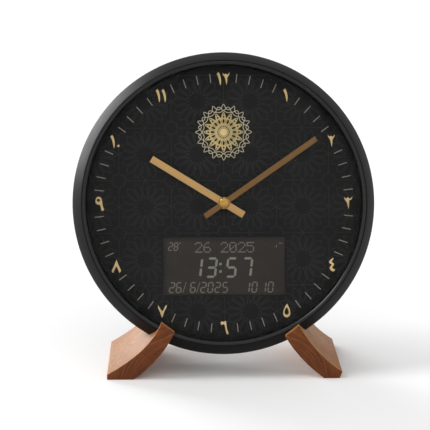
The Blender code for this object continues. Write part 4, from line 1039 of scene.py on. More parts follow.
@dataclass
class DialPrint:
    """Everything printed on the dial: numerals, minute track, gold rosette and lattice.

    A hole of the rosette is half its width, half its length and its distance from the middle, in
    millimetres, and its number of corners.
    """

    ring_radius: float = 0.1023
    tick_inner: float = 0.0993
    tick_outer: float = 0.1067
    tick_width: float = 0.00068
    ink: float = 0.00005
    rosette_rise: float = 0.0583
    rosette_line: float = 0.00052
    rosette_clear: float = 0.0235
    petals: int = 16
    petal_holes: tuple[Hole, ...] = (
        (0.50, 0.80, 14.9, 4),
        (0.66, 0.86, 12.6, 10),
        (0.86, 1.80, 9.0, 12),
    )
    seam_hole: Hole = (0.20, 1.90, 9.1, 6)
    ring_hole: Hole = (0.43, 0.62, 4.7, 8)
    ring_dots: int = 22
    heart: float = 3.3
    heart_notch: float = 2.8
    lattice_pitch: float = 0.0431
    lattice_drop: float = 0.0029
    lattice_line: float = 0.00070
    lattice_step: float = 0.0018
    lattice_depth_share: float = 0.8
    petal_side: tuple[Point, ...] = ((0.0066, 0.0), (0.0098, 0.0013), (0.0172, 0.0027))
    long_petal: float = 0.0214
    short_petal: float = 0.0207
    star_tip: float = 0.0062
    star_notch: float = 0.0047
    lattice_cells: int = 3
    window_margin: float = 0.0006
    shaft_clear: float = 0.0035
    dial_edge: float = 0.1124
    stroke_trim: float = 0.16
    sharp_corner: float = 66.0

    def build_numerals(self) -> bpy.types.Object:
        """Cuts the twelve hour numerals.

        Returns:
            The numerals as one piece.
        """
        parts = []
        for hour, glyphs in HOURS.items():
            angle = math.radians(90.0 - 30.0 * hour)
            middle = (self.ring_radius * math.cos(angle), self.ring_radius * math.sin(angle))
            for glyph, aside, up in glyphs:
                loops = []
                for order, loop in enumerate(glyph.value):
                    slim = self.stroke_trim if order == 0 else -self.stroke_trim
                    line = drawn_in(flowing(loop, 4, self.sharp_corner), slim)
                    shift = (middle[0] + aside * MM, middle[1] + up * MM)
                    loops.append([(shift[0] + x * MM, shift[1] + z * MM) for x, z in line])
                parts.append(plate("numeral", loops, -self.ink, 0.0))
        return joined("hour_numerals", parts)

    def build_track(self) -> bpy.types.Object:
        """Lays the minute ticks between the numerals.

        Returns:
            The ticks as one piece.
        """
        parts = []
        length = self.tick_outer - self.tick_inner
        for minute in range(60):
            if minute % 5 == 0:
                continue
            angle = math.tau * minute / 60
            clear_selection()
            bpy.ops.mesh.primitive_cube_add(size=1.0)
            tick = bpy.context.object
            middle = Matrix.Translation((0.0, -self.ink / 2, (self.tick_inner + self.tick_outer) / 2))
            size = Matrix.Diagonal((self.tick_width, self.ink, length, 1.0))
            tick.matrix_world = Matrix.Rotation(angle, 4, "Y") @ middle @ size
            pick(tick)
            bpy.ops.object.transform_apply(location=True, rotation=True, scale=True)
            parts.append(tick)
        return joined("minute_track", parts)

    def on_rosette(self, radius: float, angle: float) -> Point:
        """Gives a point of the rosette in the face plane.

        Args:
            radius: Its distance from the rosette's middle, in millimetres.
            angle: Its direction, from the right.

        Returns:
            The point.
        """
        return radius * MM * math.cos(angle), radius * MM * math.sin(angle) + self.rosette_rise

    def wave(self, reach: Sequence[Point]) -> list[Point]:
        """Draws a closed line that repeats with each petal round the rosette.

        Args:
            reach: Share of half a repeat and radius in millimetres, from a tip to halfway to the next.

        Returns:
            The closed line in the face plane.
        """
        repeat = math.tau / self.petals
        both = list(reach) + [(2.0 - share, radius) for share, radius in reversed(reach[1:-1])]
        points = []
        for tip in range(self.petals):
            for share, radius in both:
                points.append(self.on_rosette(radius, math.pi / 2 + (tip + share / 2) * repeat))
        return flowing(points, 3)

    def build_rosette_lines(self) -> bpy.types.Object:
        """Draws the pointed rim of the rosette and the two wavy lines inside it.

        Returns:
            The lines as one piece.
        """
        rim = self.wave(
            ((0.0, 23.0), (0.20, 21.9), (0.40, 20.2), (0.53, 19.7), (0.78, 20.6), (1.0, 20.9))
        )
        weave = self.wave(((0.0, 17.8), (0.30, 18.4), (0.53, 19.3), (0.76, 19.0), (1.0, 18.7)))
        arches = self.wave(((0.0, 17.6), (0.30, 17.2), (0.60, 16.7), (1.0, 16.4)))
        return ribbons("rosette_lines", [rim, weave, arches], self.rosette_line, -self.ink)

    def build_rosette_field(self) -> bpy.types.Object:
        """Cuts the petals in one, with their diamonds, dots and slits, and the dotted ring.

        Returns:
            The petals as one piece.
        """
        petals = self.wave(((0.0, 16.6), (0.25, 15.8), (0.50, 14.4), (0.78, 12.6), (1.0, 11.8)))
        holes = [oval(self.heart, self.heart, 0.0, 0.0, 48)]
        for petal in range(self.petals):
            angle = math.tau * petal / self.petals
            for across, along, distance, steps in self.petal_holes:
                holes.append(oval(across, along, distance, angle, steps))
            across, along, distance, steps = self.seam_hole
            holes.append(oval(across, along, distance, angle + math.pi / self.petals, steps))
        across, along, distance, steps = self.ring_hole
        for dot in range(self.ring_dots):
            holes.append(oval(across, along, distance, math.tau * dot / self.ring_dots, steps))
        loops = [[(x * MM, z * MM + self.rosette_rise) for x, z in hole] for hole in holes]
        return plate("rosette_petals", [petals, *loops], -self.ink, 0.0)

    def build_rosette_heart(self) -> bpy.types.Object:
        """Cuts the bright many-pointed heart of the rosette.

        Returns:
            The heart.
        """
        points = 2 * self.ring_dots
        star = []
        for step in range(points):
            reach = self.heart if step % 2 == 0 else self.heart_notch
            star.append(self.on_rosette(reach, math.tau * step / points))
        return plate("rosette_heart", [star], -self.ink, 0.0)

    def cell_lines(self) -> list[list[Point]]:
        """Draws one cell of the lattice: long petals, and a quarter of a star at each corner.

        Returns:
            Open lines in the cell's own frame.
        """
        half = self.lattice_pitch / 2
        slack = 0.00001
        lines: list[list[Point]] = []
        for petal in range(self.petals):
            turn = Matrix.Rotation(math.tau * petal / self.petals, 2)
            tip = self.long_petal if petal % 2 == 0 else self.short_petal
            side = (*self.petal_side, (tip, 0.0))
            for sign in (1, -1):
                lines.append([tuple(turn @ Vector((x, sign * z))) for x, z in side])
        star = []
        for step in range(17):
            reach = self.star_tip if step % 2 == 0 else self.star_notch
            angle = math.tau * step / 16
            star.append((half + reach * math.cos(angle), half + reach * math.sin(angle)))
        kept = [p for p in star if p[0] <= half + slack and p[1] <= half + slack]
        kept.sort(key=lambda p: math.atan2(p[1] - half, p[0] - half) % math.tau)
        upright = ((half, half - self.star_tip), (half, 0.0))
        level = ((half - self.star_tip, half), (0.0, half))
        for corner in range(4):
            turn = Matrix.Rotation(math.pi / 2 * corner, 2)
            for line in (kept, upright, level):
                lines.append([tuple(turn @ Vector(p)) for p in line])
        return lines

    def build_lattice(self, window: Window) -> bpy.types.Object:
        """Repeats the lattice over the dial, clear of its edge, the window and the gold rosette.

        Args:
            window: Left, right, low and high edge of the display's window.

        Returns:
            The lattice as one piece.
        """
        points: list[tuple[float, float, float]] = []
        faces: list[tuple[int, ...]] = []
        reach = range(-self.lattice_cells, self.lattice_cells)
        for column in reach:
            for row in reach:
                dx = (column + 0.5) * self.lattice_pitch
                dz = row * self.lattice_pitch - self.lattice_drop
                for line in self.cell_lines():
                    for start, end in zip(line, line[1:]):
                        first = Vector((start[0] + dx, start[1] + dz))
                        last = Vector((end[0] + dx, end[1] + dz))
                        self.lay_line(points, faces, first, last, window)
        return mesh_from("lattice_print", points, [], faces)

    def is_bare(self, middle: Vector, window: Window) -> bool:
        """Tells whether a place of the dial stays free of the lattice.

        Args:
            middle: The place.
            window: Left, right, low and high edge of the window.

        Returns:
            True past the dial's edge and near the shaft, the window and the gold rosette.
        """
        left, right, low, high = window
        margin = self.window_margin
        beside = left - margin < middle.x < right + margin
        level = low - margin < middle.y < high + margin
        near_rosette = (middle - Vector((0.0, self.rosette_rise))).length < self.rosette_clear
        off_dial = middle.length > self.dial_edge or middle.length < self.shaft_clear
        return off_dial or (beside and level) or near_rosette

    def lay_line(
        self,
        points: list[tuple[float, float, float]],
        faces: list[tuple[int, ...]],
        first: Vector,
        last: Vector,
        window: Window,
    ) -> None:
        """Lays one straight line of the lattice in short lengths, where the dial isn't kept bare.

        Args:
            points: Points of the mesh so far.
            faces: Faces of the mesh so far.
            first: Start of the line.
            last: End of the line.
            window: Left, right, low and high edge of the window.
        """
        count = max(1, round((last - first).length / self.lattice_step))
        along = (last - first).normalized()
        side = Vector((-along.y, along.x)) * (self.lattice_line / 2)
        depth = -self.ink * self.lattice_depth_share
        for step in range(count):
            a = first.lerp(last, step / count)
            b = first.lerp(last, (step + 1) / count)
            if self.is_bare((a + b) / 2, window):
                continue
            base = len(points)
            for corner in (a + side, a - side, b - side, b + side):
                points.append((corner.x, depth, corner.y))
            faces.append((base, base + 1, base + 2, base + 3))

    def build(self, window: Window) -> None:
        """Builds and finishes the print.

        Args:
            window: Left, right, low and high edge of the display's window.
        """
        ground = Plastic(
            "dial_black", (0.0180, 0.0174, 0.0172), roughness=0.70, sheen_change=0.05, specular=0.03,
            fineness=5200.0, relief=0.00001, strength=0.05, shade_change=0.08,
        )
        paint_nodes(("dial_plate",), ground.material())
        gold = Plastic(
            "gold_print", (0.68, 0.475, 0.20), roughness=0.38, sheen_change=0.08, specular=0.5,
            fineness=4000.0, relief=0.00001, strength=0.1, shade_change=0.18,
        )
        faded = Plastic(
            "track_print", (0.30, 0.268, 0.22), roughness=0.45, sheen_change=0.08, specular=0.2,
            fineness=4000.0, relief=0.00001, strength=0.1, shade_change=0.15,
        )
        grey_gold = Plastic(
            "rosette_grey_gold", (0.50, 0.43, 0.31), roughness=0.42, sheen_change=0.08, specular=0.2,
            fineness=4000.0, relief=0.00001, strength=0.1, shade_change=0.18,
        )
        field = Plastic(
            "rosette_gold", (0.46, 0.345, 0.150), roughness=0.40, sheen_change=0.08, specular=0.3,
            fineness=1500.0, relief=0.00001, strength=0.1, shade_change=0.28,
        )
        tone = Plastic(
            "lattice_grey", (0.0285, 0.0285, 0.0280), roughness=0.60, sheen_change=0.06, specular=0.05,
            fineness=4000.0, relief=0.00001, strength=0.05, shade_change=0.12,
        )
        bright = gold.material()
        pieces = (
            (self.build_numerals(), bright),
            (self.build_track(), faded.material()),
            (self.build_rosette_lines(), grey_gold.material()),
            (self.build_rosette_field(), field.material()),
            (self.build_rosette_heart(), bright),
            (self.build_lattice(window), tone.material()),
        )
        for obj, material in pieces:
            settle(obj)
            mount(obj, Body.CLOCK, material)


# Hands


@dataclass
class Hand:
    """A flat bar with square ends and a round hub."""

    name: str
    node: str
    body: Body
    slot: str
    length: float
    tail: float
    width: float
    rise: float
    degrees: float
    bore: float
    finish: Metal
    thick: float = 0.0005
    hub: float = 0.0042
    bevel: float = 0.00008

    def disc(self, radius: float, depth: float, vertices: int) -> bpy.types.Object:
        """Adds an upright disc about the hand's axis, level with its bar.

        Args:
            radius: Radius of the disc.
            depth: Its thickness.
            vertices: Number of corners round it.

        Returns:
            The disc.
        """
        clear_selection()
        bpy.ops.mesh.primitive_cylinder_add(
            vertices=vertices, radius=radius, depth=depth, location=(0.0, -self.rise, 0.0),
            rotation=(math.pi / 2, 0.0, 0.0),
        )
        return bpy.context.object

    def build(self) -> None:
        """Builds and finishes the hand."""
        clear_selection()
        bpy.ops.mesh.primitive_cube_add(size=1.0)
        bar = bpy.context.object
        size = Matrix.Diagonal((self.width, self.thick, self.length + self.tail, 1.0))
        bar.matrix_world = Matrix.Translation((0.0, -self.rise, (self.length - self.tail) / 2)) @ size
        pick(bar)
        bpy.ops.object.transform_apply(location=True, rotation=True, scale=True)
        hub = self.disc(self.hub, self.thick, 64)
        pick(hub)
        bpy.ops.object.transform_apply(location=True, rotation=True, scale=True)
        apply_modifier(bar, "BOOLEAN", object=hub, operation="UNION", solver="EXACT")
        bpy.data.objects.remove(hub)
        drill = self.disc(self.bore, self.thick * 4, 48)
        apply_modifier(bar, "BOOLEAN", object=drill, operation="DIFFERENCE", solver="EXACT")
        bpy.data.objects.remove(drill)
        tidy_mesh(bar)
        soften(bar, self.bevel)
        smooth(bar, 40.0)
        bar.name = self.name
        settle(bar, FACE @ Matrix.Rotation(math.radians(self.degrees), 4, "Y"))
        mount(bar, self.body, self.finish.material(), (self.node,))


@dataclass
class HandSet:
    """Both hands and the polished cap over their shaft."""

    hour_degrees: float = -58.5
    minute_degrees: float = 55.3
    cap_radius: float = 0.0048
    cap_height: float = 0.0023
    cap_back: float = -0.00665
    cap_bore: float = 0.0015
    cap_step: float = 0.0005
    collar: float = 0.0005

    def build_cap(self) -> None:
        """Turns the domed cap with its thin collar."""
        dome_radius = self.cap_radius - self.cap_step
        front = self.cap_back - self.collar
        rise = self.cap_height - self.collar
        dome = [(dome_radius * math.cos(a), front - rise * math.sin(a)) for a in quarter_turn(14)]
        dome[-1] = (0.0, self.cap_back - self.cap_height)
        edge = 0.00012
        profile = [
            (self.cap_bore, self.cap_back),
            (self.cap_radius - edge, self.cap_back),
            (self.cap_radius, self.cap_back - edge),
            (self.cap_radius, front + edge),
            (self.cap_radius - edge, front),
            (dome_radius + edge, front),
            *dome,
        ]
        cap = turned("shaft_cap", profile, 96, closed=False)
        settle(cap)
        polished = Metal(
            "cap_polished", (0.36, 0.205, 0.055), roughness=0.14, streak_change=0.03, fineness=900.0,
            turn=0.0, relief=0.000004, strength=0.1, shade_change=0.06,
        )
        mount(cap, Body.MINUTE, polished.material(), ("hand_cap",))

    def build(self) -> None:
        """Builds and finishes the hands."""
        quarter = math.pi / 2
        brass = Metal(
            "hour_brass", (0.37, 0.222, 0.092), roughness=0.42, streak_change=0.08, fineness=4200.0,
            turn=-math.radians(self.hour_degrees) - quarter, relief=0.00001, strength=0.15,
            shade_change=0.12,
        )
        bronze = Metal(
            "minute_bronze", (0.145, 0.080, 0.034), roughness=0.42, streak_change=0.08, fineness=4200.0,
            turn=-math.radians(self.minute_degrees) - quarter, relief=0.00001, strength=0.15,
            shade_change=0.14,
        )
        Hand(
            "hour_bar", "hour_hand", Body.HOUR, slot="hour_brass", length=0.0696, tail=0.0188,
            width=0.0057, rise=0.0044, degrees=self.hour_degrees, bore=0.0024, finish=brass,
        ).build()
        Hand(
            "minute_bar", "minute_hand", Body.MINUTE, slot="minute_bronze", length=0.0921, tail=0.0192,
            width=0.0046, rise=0.0061, degrees=self.minute_degrees, bore=0.0015, finish=bronze,
        ).build()
        self.build_cap()
        brassy = Metal("turned_brass", (0.60, 0.42, 0.19), roughness=0.25)
        paint_nodes(("threaded_bush", "dial_nut"), brassy.material())


# Display


SEGMENTS: dict[str, str] = {
    "0": "abcdef",
    "1": "bc",
    "2": "abged",
    "3": "abgcd",
    "5": "afgcd",
    "6": "afgedc",
    "7": "abc",
    "8": "abcdefg",
}

DOTS: dict[str, tuple[str, ...]] = {
    "2": (".###.", "#...#", "....#", "...#.", "..#..", ".#...", "#####"),
    "6": ("..##.", ".#...", "#....", "####.", "#...#", "#...#", ".###."),
    "0": (".###.", "#...#", "#..##", "#.#.#", "##..#", "#...#", ".###."),
    "5": ("#####", "#....", "####.", "....#", "....#", "#...#", ".###."),
}


CLOCK_FIGURES = (("1", -0.0225), ("3", -0.0104), ("5", 0.0060), ("7", 0.0187))
DATE_FIGURES = (
    ("2", -0.0430), ("6", -0.0374), ("6", -0.0258), ("2", -0.0172), ("0", -0.0114), ("2", -0.0055),
    ("5", 0.0007), ("1", 0.0187), ("0", 0.0248), ("1", 0.0321), ("0", 0.0381),
)
WARMTH_FIGURES = (("2", -0.0440), ("8", -0.0396))
SIGN_BARS = (
    (-0.0362, 0.0190, 0.0011, 0.0010),
    (0.0466, 0.0187, 0.0032, 0.0007),
    (0.0430, 0.0162, 0.0006, 0.0026),
)
TOP_FIGURES = "26 2025"


@dataclass
class Display:
    """The reversed liquid crystal panel with its plain figures."""

    border: float = 0.0018
    date_rise: float = -0.0174
    slant: float = 0.12
    slash_slant: float = 0.22
    slash_places: tuple[float, ...] = (-0.0328, -0.0215)
    colon_place: float = -0.0031
    colon_rises: tuple[float, ...] = (0.0018, -0.0043)
    top_left: float = -0.0242
    top_step: float = 0.0071
    width_share: float = 0.53
    gap_share: float = 0.16
    dot_share: float = 0.86
    figure_depth: float = 0.00004

    def __post_init__(self) -> None:
        """Takes the panel's place from its node."""
        inverse = FACE.inverted()
        node = frame["nodes"]["lcd_panel"]
        local = [inverse @ vertex.co for vertex in node.data.vertices]
        self.front = min(p.y for p in local)
        self.left = min(p.x for p in local) + self.border
        self.right = max(p.x for p in local) - self.border
        self.low = min(p.z for p in local) + self.border
        self.high = max(p.z for p in local) - self.border
        self.middle = ((self.left + self.right) / 2, (self.low + self.high) / 2)

    def window(self) -> Window:
        """Gives the left, right, low and high edge of the window."""
        return self.left, self.right, self.low, self.high

    def segment_loops(
        self, figure: str, x: float, z: float, height: float, thick: float
    ) -> list[list[Point]]:
        """Draws a seven-segment figure.

        Args:
            figure: The figure.
            x: Its middle to the right of the window's middle.
            z: Its middle above the window's middle.
            height: Its height.
            thick: Width of a segment.

        Returns:
            A closed outline for each lit segment.
        """
        wide = height * self.width_share
        gap = thick * self.gap_share
        half, tall = wide / 2 - thick / 2, height / 2 - thick / 2
        ends = {
            "a": ((-half, tall), (half, tall)),
            "b": ((half, tall), (half, 0.0)),
            "c": ((half, 0.0), (half, -tall)),
            "d": ((-half, -tall), (half, -tall)),
            "e": ((-half, 0.0), (-half, -tall)),
            "f": ((-half, tall), (-half, 0.0)),
            "g": ((-half, 0.0), (half, 0.0)),
        }
        loops = []
        for label in SEGMENTS[figure]:
            start, end = (Vector(p) for p in ends[label])
            along = (end - start).normalized()
            side = Vector((-along.y, along.x)) * (thick / 2)
            start, end = start + along * gap, end - along * gap
            taper = along * (thick / 2)
            near, far = start + taper, end - taper
            corners = (start, near + side, far + side, end, far - side, near - side)
            loops.append([self.slanted(c.x, c.y, x, z) for c in corners])
        return loops

    def slanted(self, dx: float, dz: float, x: float, z: float) -> Point:
        """Leans a point of a figure and moves it to its place on the panel.

        Args:
            dx: The point beside the figure's middle.
            dz: The point above the figure's middle.
            x: The figure's middle beside the window's middle.
            z: The figure's middle above the window's middle.

        Returns:
            The point in the face plane.
        """
        return self.middle[0] + x + dx + dz * self.slant, self.middle[1] + z + dz

    def bar(self, x: float, z: float, width: float, height: float) -> list[Point]:
        """Draws a slanted bar.

        Args:
            x: Its middle beside the window's middle.
            z: Its middle above the window's middle.
            width: Its width.
            height: Its height.

        Returns:
            Its outline.
        """
        corners = ((-width, -height), (width, -height), (width, height), (-width, height))
        return [self.slanted(dx / 2, dz / 2, x, z) for dx, dz in corners]

    def dot_loops(self, figure: str, x: float, z: float, pitch: float) -> list[list[Point]]:
        """Draws a dot-matrix figure.

        Args:
            figure: The figure.
            x: Its left edge beside the window's middle.
            z: Its middle above the window's middle.
            pitch: Distance between dots.

        Returns:
            A closed outline for each lit dot.
        """
        loops = []
        size = pitch * self.dot_share
        for row, dots in enumerate(DOTS[figure]):
            for column, dot in enumerate(dots):
                if dot == "#":
                    left = self.middle[0] + x + column * pitch
                    low = self.middle[1] + z + (3 - row) * pitch - size / 2
                    right, high = left + size, low + size
                    loops.append([(left, low), (right, low), (right, high), (left, high)])
        return loops

    def build(self) -> None:
        """Builds and finishes the panel and its figures."""
        big = []
        for figure, x in CLOCK_FIGURES:
            big += self.segment_loops(figure, x, z=-0.0011, height=0.0169, thick=0.0019)
        for z in self.colon_rises:
            big.append(self.bar(self.colon_place, z, width=0.0020, height=0.0020))
        small = []
        for figure, x in DATE_FIGURES:
            small += self.segment_loops(figure, x, z=self.date_rise, height=0.0092, thick=0.0011)
        for x in self.slash_places:
            slash = self.bar(x, self.date_rise, width=0.0006, height=0.0088)
            base = self.middle[1] + self.date_rise
            small.append([(px + (pz - base) * self.slash_slant, pz) for px, pz in slash])
        for figure, x in WARMTH_FIGURES:
            small += self.segment_loops(figure, x, z=0.0163, height=0.0071, thick=0.0009)
        for x, z, width, height in SIGN_BARS:
            small.append(self.bar(x, z, width, height))
        for place, figure in enumerate(TOP_FIGURES):
            if figure != " ":
                left = self.top_left + place * self.top_step
                small += self.dot_loops(figure, left, z=0.0155, pitch=0.00128)
        bright = Plastic(
            "figures_bright", (0.200, 0.194, 0.155), roughness=0.5, sheen_change=0.05, specular=0.06,
            fineness=3000.0, relief=0.00001, strength=0.1, shade_change=0.12,
        )
        dim = Plastic(
            "figures_dim", (0.150, 0.138, 0.115), roughness=0.5, sheen_change=0.05, specular=0.06,
            fineness=3000.0, relief=0.00001, strength=0.1, shade_change=0.12,
        )
        for name, loops, material in (("clock_figures", big, bright), ("date_figures", small, dim)):
            front = self.front - self.figure_depth
            figures = joined(name, [plate(name, [loop], front, self.front) for loop in loops])
            settle(figures)
            mount(figures, Body.CLOCK, material.material())
        panel = Plastic(
            "display_glass", (0.0375, 0.0325, 0.0290), roughness=0.40, sheen_change=0.05, specular=0.04,
            fineness=900.0, relief=0.00001, strength=0.1, shade_change=0.08,
        )
        paint_nodes(("lcd_panel",), panel.material())


# Feet


@dataclass
class Foot:
    """A hardwood board sawn to a curve, with a saddle cut to the case."""

    name: str
    node: str
    side: int
    tip: Point
    outer: Point
    toe: Point
    sole: Point
    heel: Point
    inner: Point
    crown: Point
    depth: float = 0.090
    bow: float = 0.010
    arris: float = 0.0006
    steps: int = 36

    def bowed(self, start: Point, middle: Point, end: Point) -> list[Point]:
        """Draws the smooth curve that starts, passes halfway and ends at three points.

        Args:
            start: Its first point.
            middle: Its middle point.
            end: Its last point.

        Returns:
            The curve's points.
        """
        points = []
        for step in range(self.steps + 1):
            t = step / self.steps
            weights = ((1 - t) * (1 - 2 * t), 4 * t * (1 - t), t * (2 * t - 1))
            pairs = list(zip(weights, (start, middle, end)))
            points.append(tuple(sum(w * p[axis] for w, p in pairs) for axis in (0, 1)))
        return points

    def grain(self, obj: bpy.types.Object) -> None:
        """Writes each point's place in the board, along and across its curved grain.

        Args:
            obj: The finished foot.
        """
        toe = Vector((self.side * self.sole[0], self.sole[1]))
        tip = Vector((self.side * self.tip[0], self.tip[1]))
        length = (tip - toe).length
        along = (tip - toe) / length
        across = Vector((-along.y, along.x)) * self.side
        attribute = obj.data.attributes.new("board", "FLOAT_VECTOR", "POINT")
        for index, vertex in enumerate(obj.data.vertices):
            place = Vector((vertex.co.x, vertex.co.z)) - toe
            run = place.dot(along)
            share = run / length
            bow = self.bow * 4 * share * (1 - share)
            attribute.data[index].vector = (run, place.dot(across) + bow, vertex.co.y)

    def build(
        self, saddle: bpy.types.Object, top: bpy.types.Material, edge: bpy.types.Material
    ) -> None:
        """Builds and finishes the foot.

        Args:
            saddle: Solid shape of the case, with a gap all round.
            top: Finish of the broad faces.
            edge: Finish of the front and rear faces, the same wood painted darker as painted shade.
        """
        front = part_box(self.node)[0].y
        outline = [
            *self.bowed(self.tip, self.outer, self.toe),
            self.sole,
            *self.bowed(self.heel, self.inner, self.crown),
        ]
        loop = [(self.side * x, z) for x, z in outline]
        foot = plate(self.name, [loop], front, front + self.depth)
        foot.name = self.name
        soften(foot, self.arris)
        apply_modifier(foot, "BOOLEAN", object=saddle, operation="DIFFERENCE", solver="EXACT")
        tidy_mesh(foot)
        smooth(foot, 35.0)
        self.grain(foot)
        mount(foot, Body.CLOCK, top, (self.node,))
        # Faces turned to the front and the rear take the darker copy of the wood, which is painted
        # shade.
        foot.data.materials.append(edge)
        for face in foot.data.polygons:
            face.material_index = 1 if abs(face.normal.y) > 0.75 else 0


@dataclass
class Feet:
    """The left and the right foot, which differ in outline."""

    gap: float = 0.0003

    def build_saddle(self) -> bpy.types.Object:
        """Turns the solid shape of the case that both saddles are cut to.

        Returns:
            The shape, in its place.
        """
        case = Case()
        profile = [
            (0.0, case.ring_front - self.gap),
            (case.pocket_radius, case.ring_front - self.gap),
            (case.face_radius + self.gap, case.face_front - self.gap),
            (0.1245 + self.gap, 0.0070),
            (case.radius + self.gap, 0.0090),
            (case.radius + self.gap, case.rear + self.gap),
            (0.0, case.rear + self.gap),
        ]
        saddle = turned("saddle_shape", profile, 256, closed=False)
        settle(saddle)
        return saddle

    def build(self) -> None:
        """Builds and finishes both feet."""
        top = Wood(
            "foot_face", light=(0.50, 0.238, 0.075), mid=(0.40, 0.187, 0.082),
            dark=(0.22, 0.078, 0.027), roughness=0.46,
        ).material()
        # Same wood as the broad faces, painted darker for the front and rear faces: painted shade.
        edge = Wood(
            "foot_edge_shaded", light=(0.270, 0.085, 0.024), mid=(0.185, 0.054, 0.017),
            dark=(0.045, 0.012, 0.005), roughness=0.50,
        ).material()
        saddle = self.build_saddle()
        left = Foot(
            "left_board", "left_foot", -1, tip=(0.0516, 0.0475), outer=(0.0681, 0.0247),
            toe=(0.0964, 0.0044), sole=(0.0964, 0.0), heel=(0.0750, 0.0), inner=(0.0550, 0.0178),
            crown=(0.0410, 0.0400),
        )
        right = Foot(
            "right_board", "right_foot", 1, tip=(0.0600, 0.0450), outer=(0.0769, 0.0217),
            toe=(0.0960, 0.0055), sole=(0.0937, 0.0), heel=(0.0810, 0.0), inner=(0.0625, 0.0169),
            crown=(0.0487, 0.0360),
        )
        for foot in (left, right):
            foot.build(saddle, top, edge)
        bpy.data.objects.remove(saddle)


# Rear


@dataclass
class Rear:
    """What shows behind: cover, door, buttons, screws, cells and the movement in its well."""

    button_radius: float = 0.0034
    button_stem: float = 0.0015
    button_flange: float = 0.0046
    button_column: float = -0.072
    button_pitch: float = 0.013
    button_count: int = 6
    cover_rear: float = 0.034
    button_rise: float = 0.0016
    screw_circle: float = 0.116
    screw_head: float = 0.0025
    screw_shank: float = 0.0013
    screw_tip: float = -0.0033
    screw_recess: float = 0.0018
    cross_size: tuple[float, float, float] = (0.0030, 0.0014, 0.0006)
    cross_turn: float = 0.3
    bay_depth: float = 0.0234
    bay_rises: tuple[float, ...] = (-0.051, -0.066, -0.081)
    cell_radius: float = 0.0071
    cell_length: float = 0.0505

    def build_buttons(self) -> None:
        """Turns the six push buttons with their dished caps."""
        grey = Plastic(
            "button_grey", (0.085, 0.085, 0.088), roughness=0.5, sheen_change=0.06, specular=0.35,
            fineness=2800.0, relief=0.00004, strength=0.3,
        ).material()
        cap = self.cover_rear + self.button_rise
        roll = 0.0006
        brim = self.button_radius - roll
        edge = [(brim + roll * math.cos(a), cap - roll + roll * math.sin(a)) for a in quarter_turn(5)]
        dish = [(brim - 0.0004, cap - 0.00012), (0.0012, cap - 0.00035), (0.0, cap - 0.0004)]
        stem_front = self.cover_rear - 0.0055
        flange_front = self.cover_rear - 0.0038
        flange_rear = self.cover_rear - 0.0028
        profile = [
            (0.0, stem_front),
            (self.button_stem, stem_front),
            (self.button_stem, flange_front),
            (self.button_flange, flange_front),
            (self.button_flange, flange_rear),
            (self.button_radius, flange_rear),
            *edge,
            *dish,
        ]
        for row in range(self.button_count):
            button = turned(f"push_button_{row + 1}", profile, 64, closed=False)
            rise = ((self.button_count - 1) / 2 - row) * self.button_pitch
            settle(button, FACE @ Matrix.Translation((self.button_column, 0.0, rise)))
            button.data.materials.clear()
            button.data.materials.append(grey)
            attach(button, f"button_{row + 1}")
            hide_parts(f"rear_button_{row + 1}")
            log.info("%s: %d faces", button.name, len(button.data.polygons))

    def build_screws(self) -> None:
        """Turns the four case screws and cuts their cross recesses."""
        steel = Metal(
            "screw_steel", (0.50, 0.49, 0.47), roughness=0.32, streak_change=0.08, fineness=3000.0,
        ).material()
        seat = self.cover_rear - self.screw_recess + TOUCH_GAP
        head = seat + 0.0015
        dome = [
            (self.screw_head * (0.72 + 0.28 * math.cos(a)), seat + 0.0006 + 0.0009 * math.sin(a))
            for a in quarter_turn(6)
        ]
        profile = [
            (0.0, head),
            *reversed(dome),
            (self.screw_head, seat),
            (self.screw_shank, seat),
            (self.screw_shank, self.screw_tip + self.screw_shank),
            (0.0, self.screw_tip),
        ]
        for number in range(4):
            angle = math.radians(45.0 + 90.0 * number)
            screw = turned(f"case_screw_head_{number + 1}", profile, 48, closed=False)
            for turn in (self.cross_turn, self.cross_turn + math.pi / 2):
                clear_selection()
                bpy.ops.mesh.primitive_cube_add(size=1.0)
                blade = bpy.context.object
                stand = Matrix.Translation((0.0, head, 0.0)) @ Matrix.Rotation(turn, 4, "Y")
                blade.matrix_world = stand @ Matrix.Diagonal((*self.cross_size, 1.0))
                apply_modifier(screw, "BOOLEAN", object=blade, operation="DIFFERENCE", solver="EXACT")
                bpy.data.objects.remove(blade)
            tidy_mesh(screw)
            smooth(screw, 35.0)
            spot = (self.screw_circle * math.cos(angle), 0.0, self.screw_circle * math.sin(angle))
            settle(screw, FACE @ Matrix.Translation(spot))
            mount(screw, Body.CLOCK, steel, (f"case_screw_{number + 1}",))

    def build_cell(
        self, name: str, node: str, depth: float, rise: float, flip: bool, sleeve: bpy.types.Material
    ) -> None:
        """Turns an AA cell with its crimped ends and raised terminal.

        Args:
            name: The piece's name.
            node: The node that it stands for.
            depth: Depth of its axis.
            rise: Height of its axis.
            flip: Whether its terminal points to the left.
            sleeve: Its finish.
        """
        half = self.cell_length / 2
        r = self.cell_radius
        profile = [
            (0.0, -half), (r - 0.0018, -half), (r - 0.0014, -half + 0.0002),
            (r - 0.0005, -half + 0.0002), (r, -half + 0.0008), (r, half - 0.0023),
            (r - 0.0003, half - 0.0016), (r - 0.0011, half - 0.0013), (r - 0.0013, half - 0.0015),
            (0.0030, half - 0.0015), (0.0027, half - 0.0012), (0.0026, half - 0.0003),
            (0.0023, half), (0.0, half),
        ]
        cell = turned(name, profile, 56, closed=False)
        turn = math.pi / 2 if flip else -math.pi / 2
        settle(cell, FACE @ Matrix.Translation((0.0, depth, rise)) @ Matrix.Rotation(turn, 4, "Z"))
        mount(cell, Body.CLOCK, sleeve, (node,))

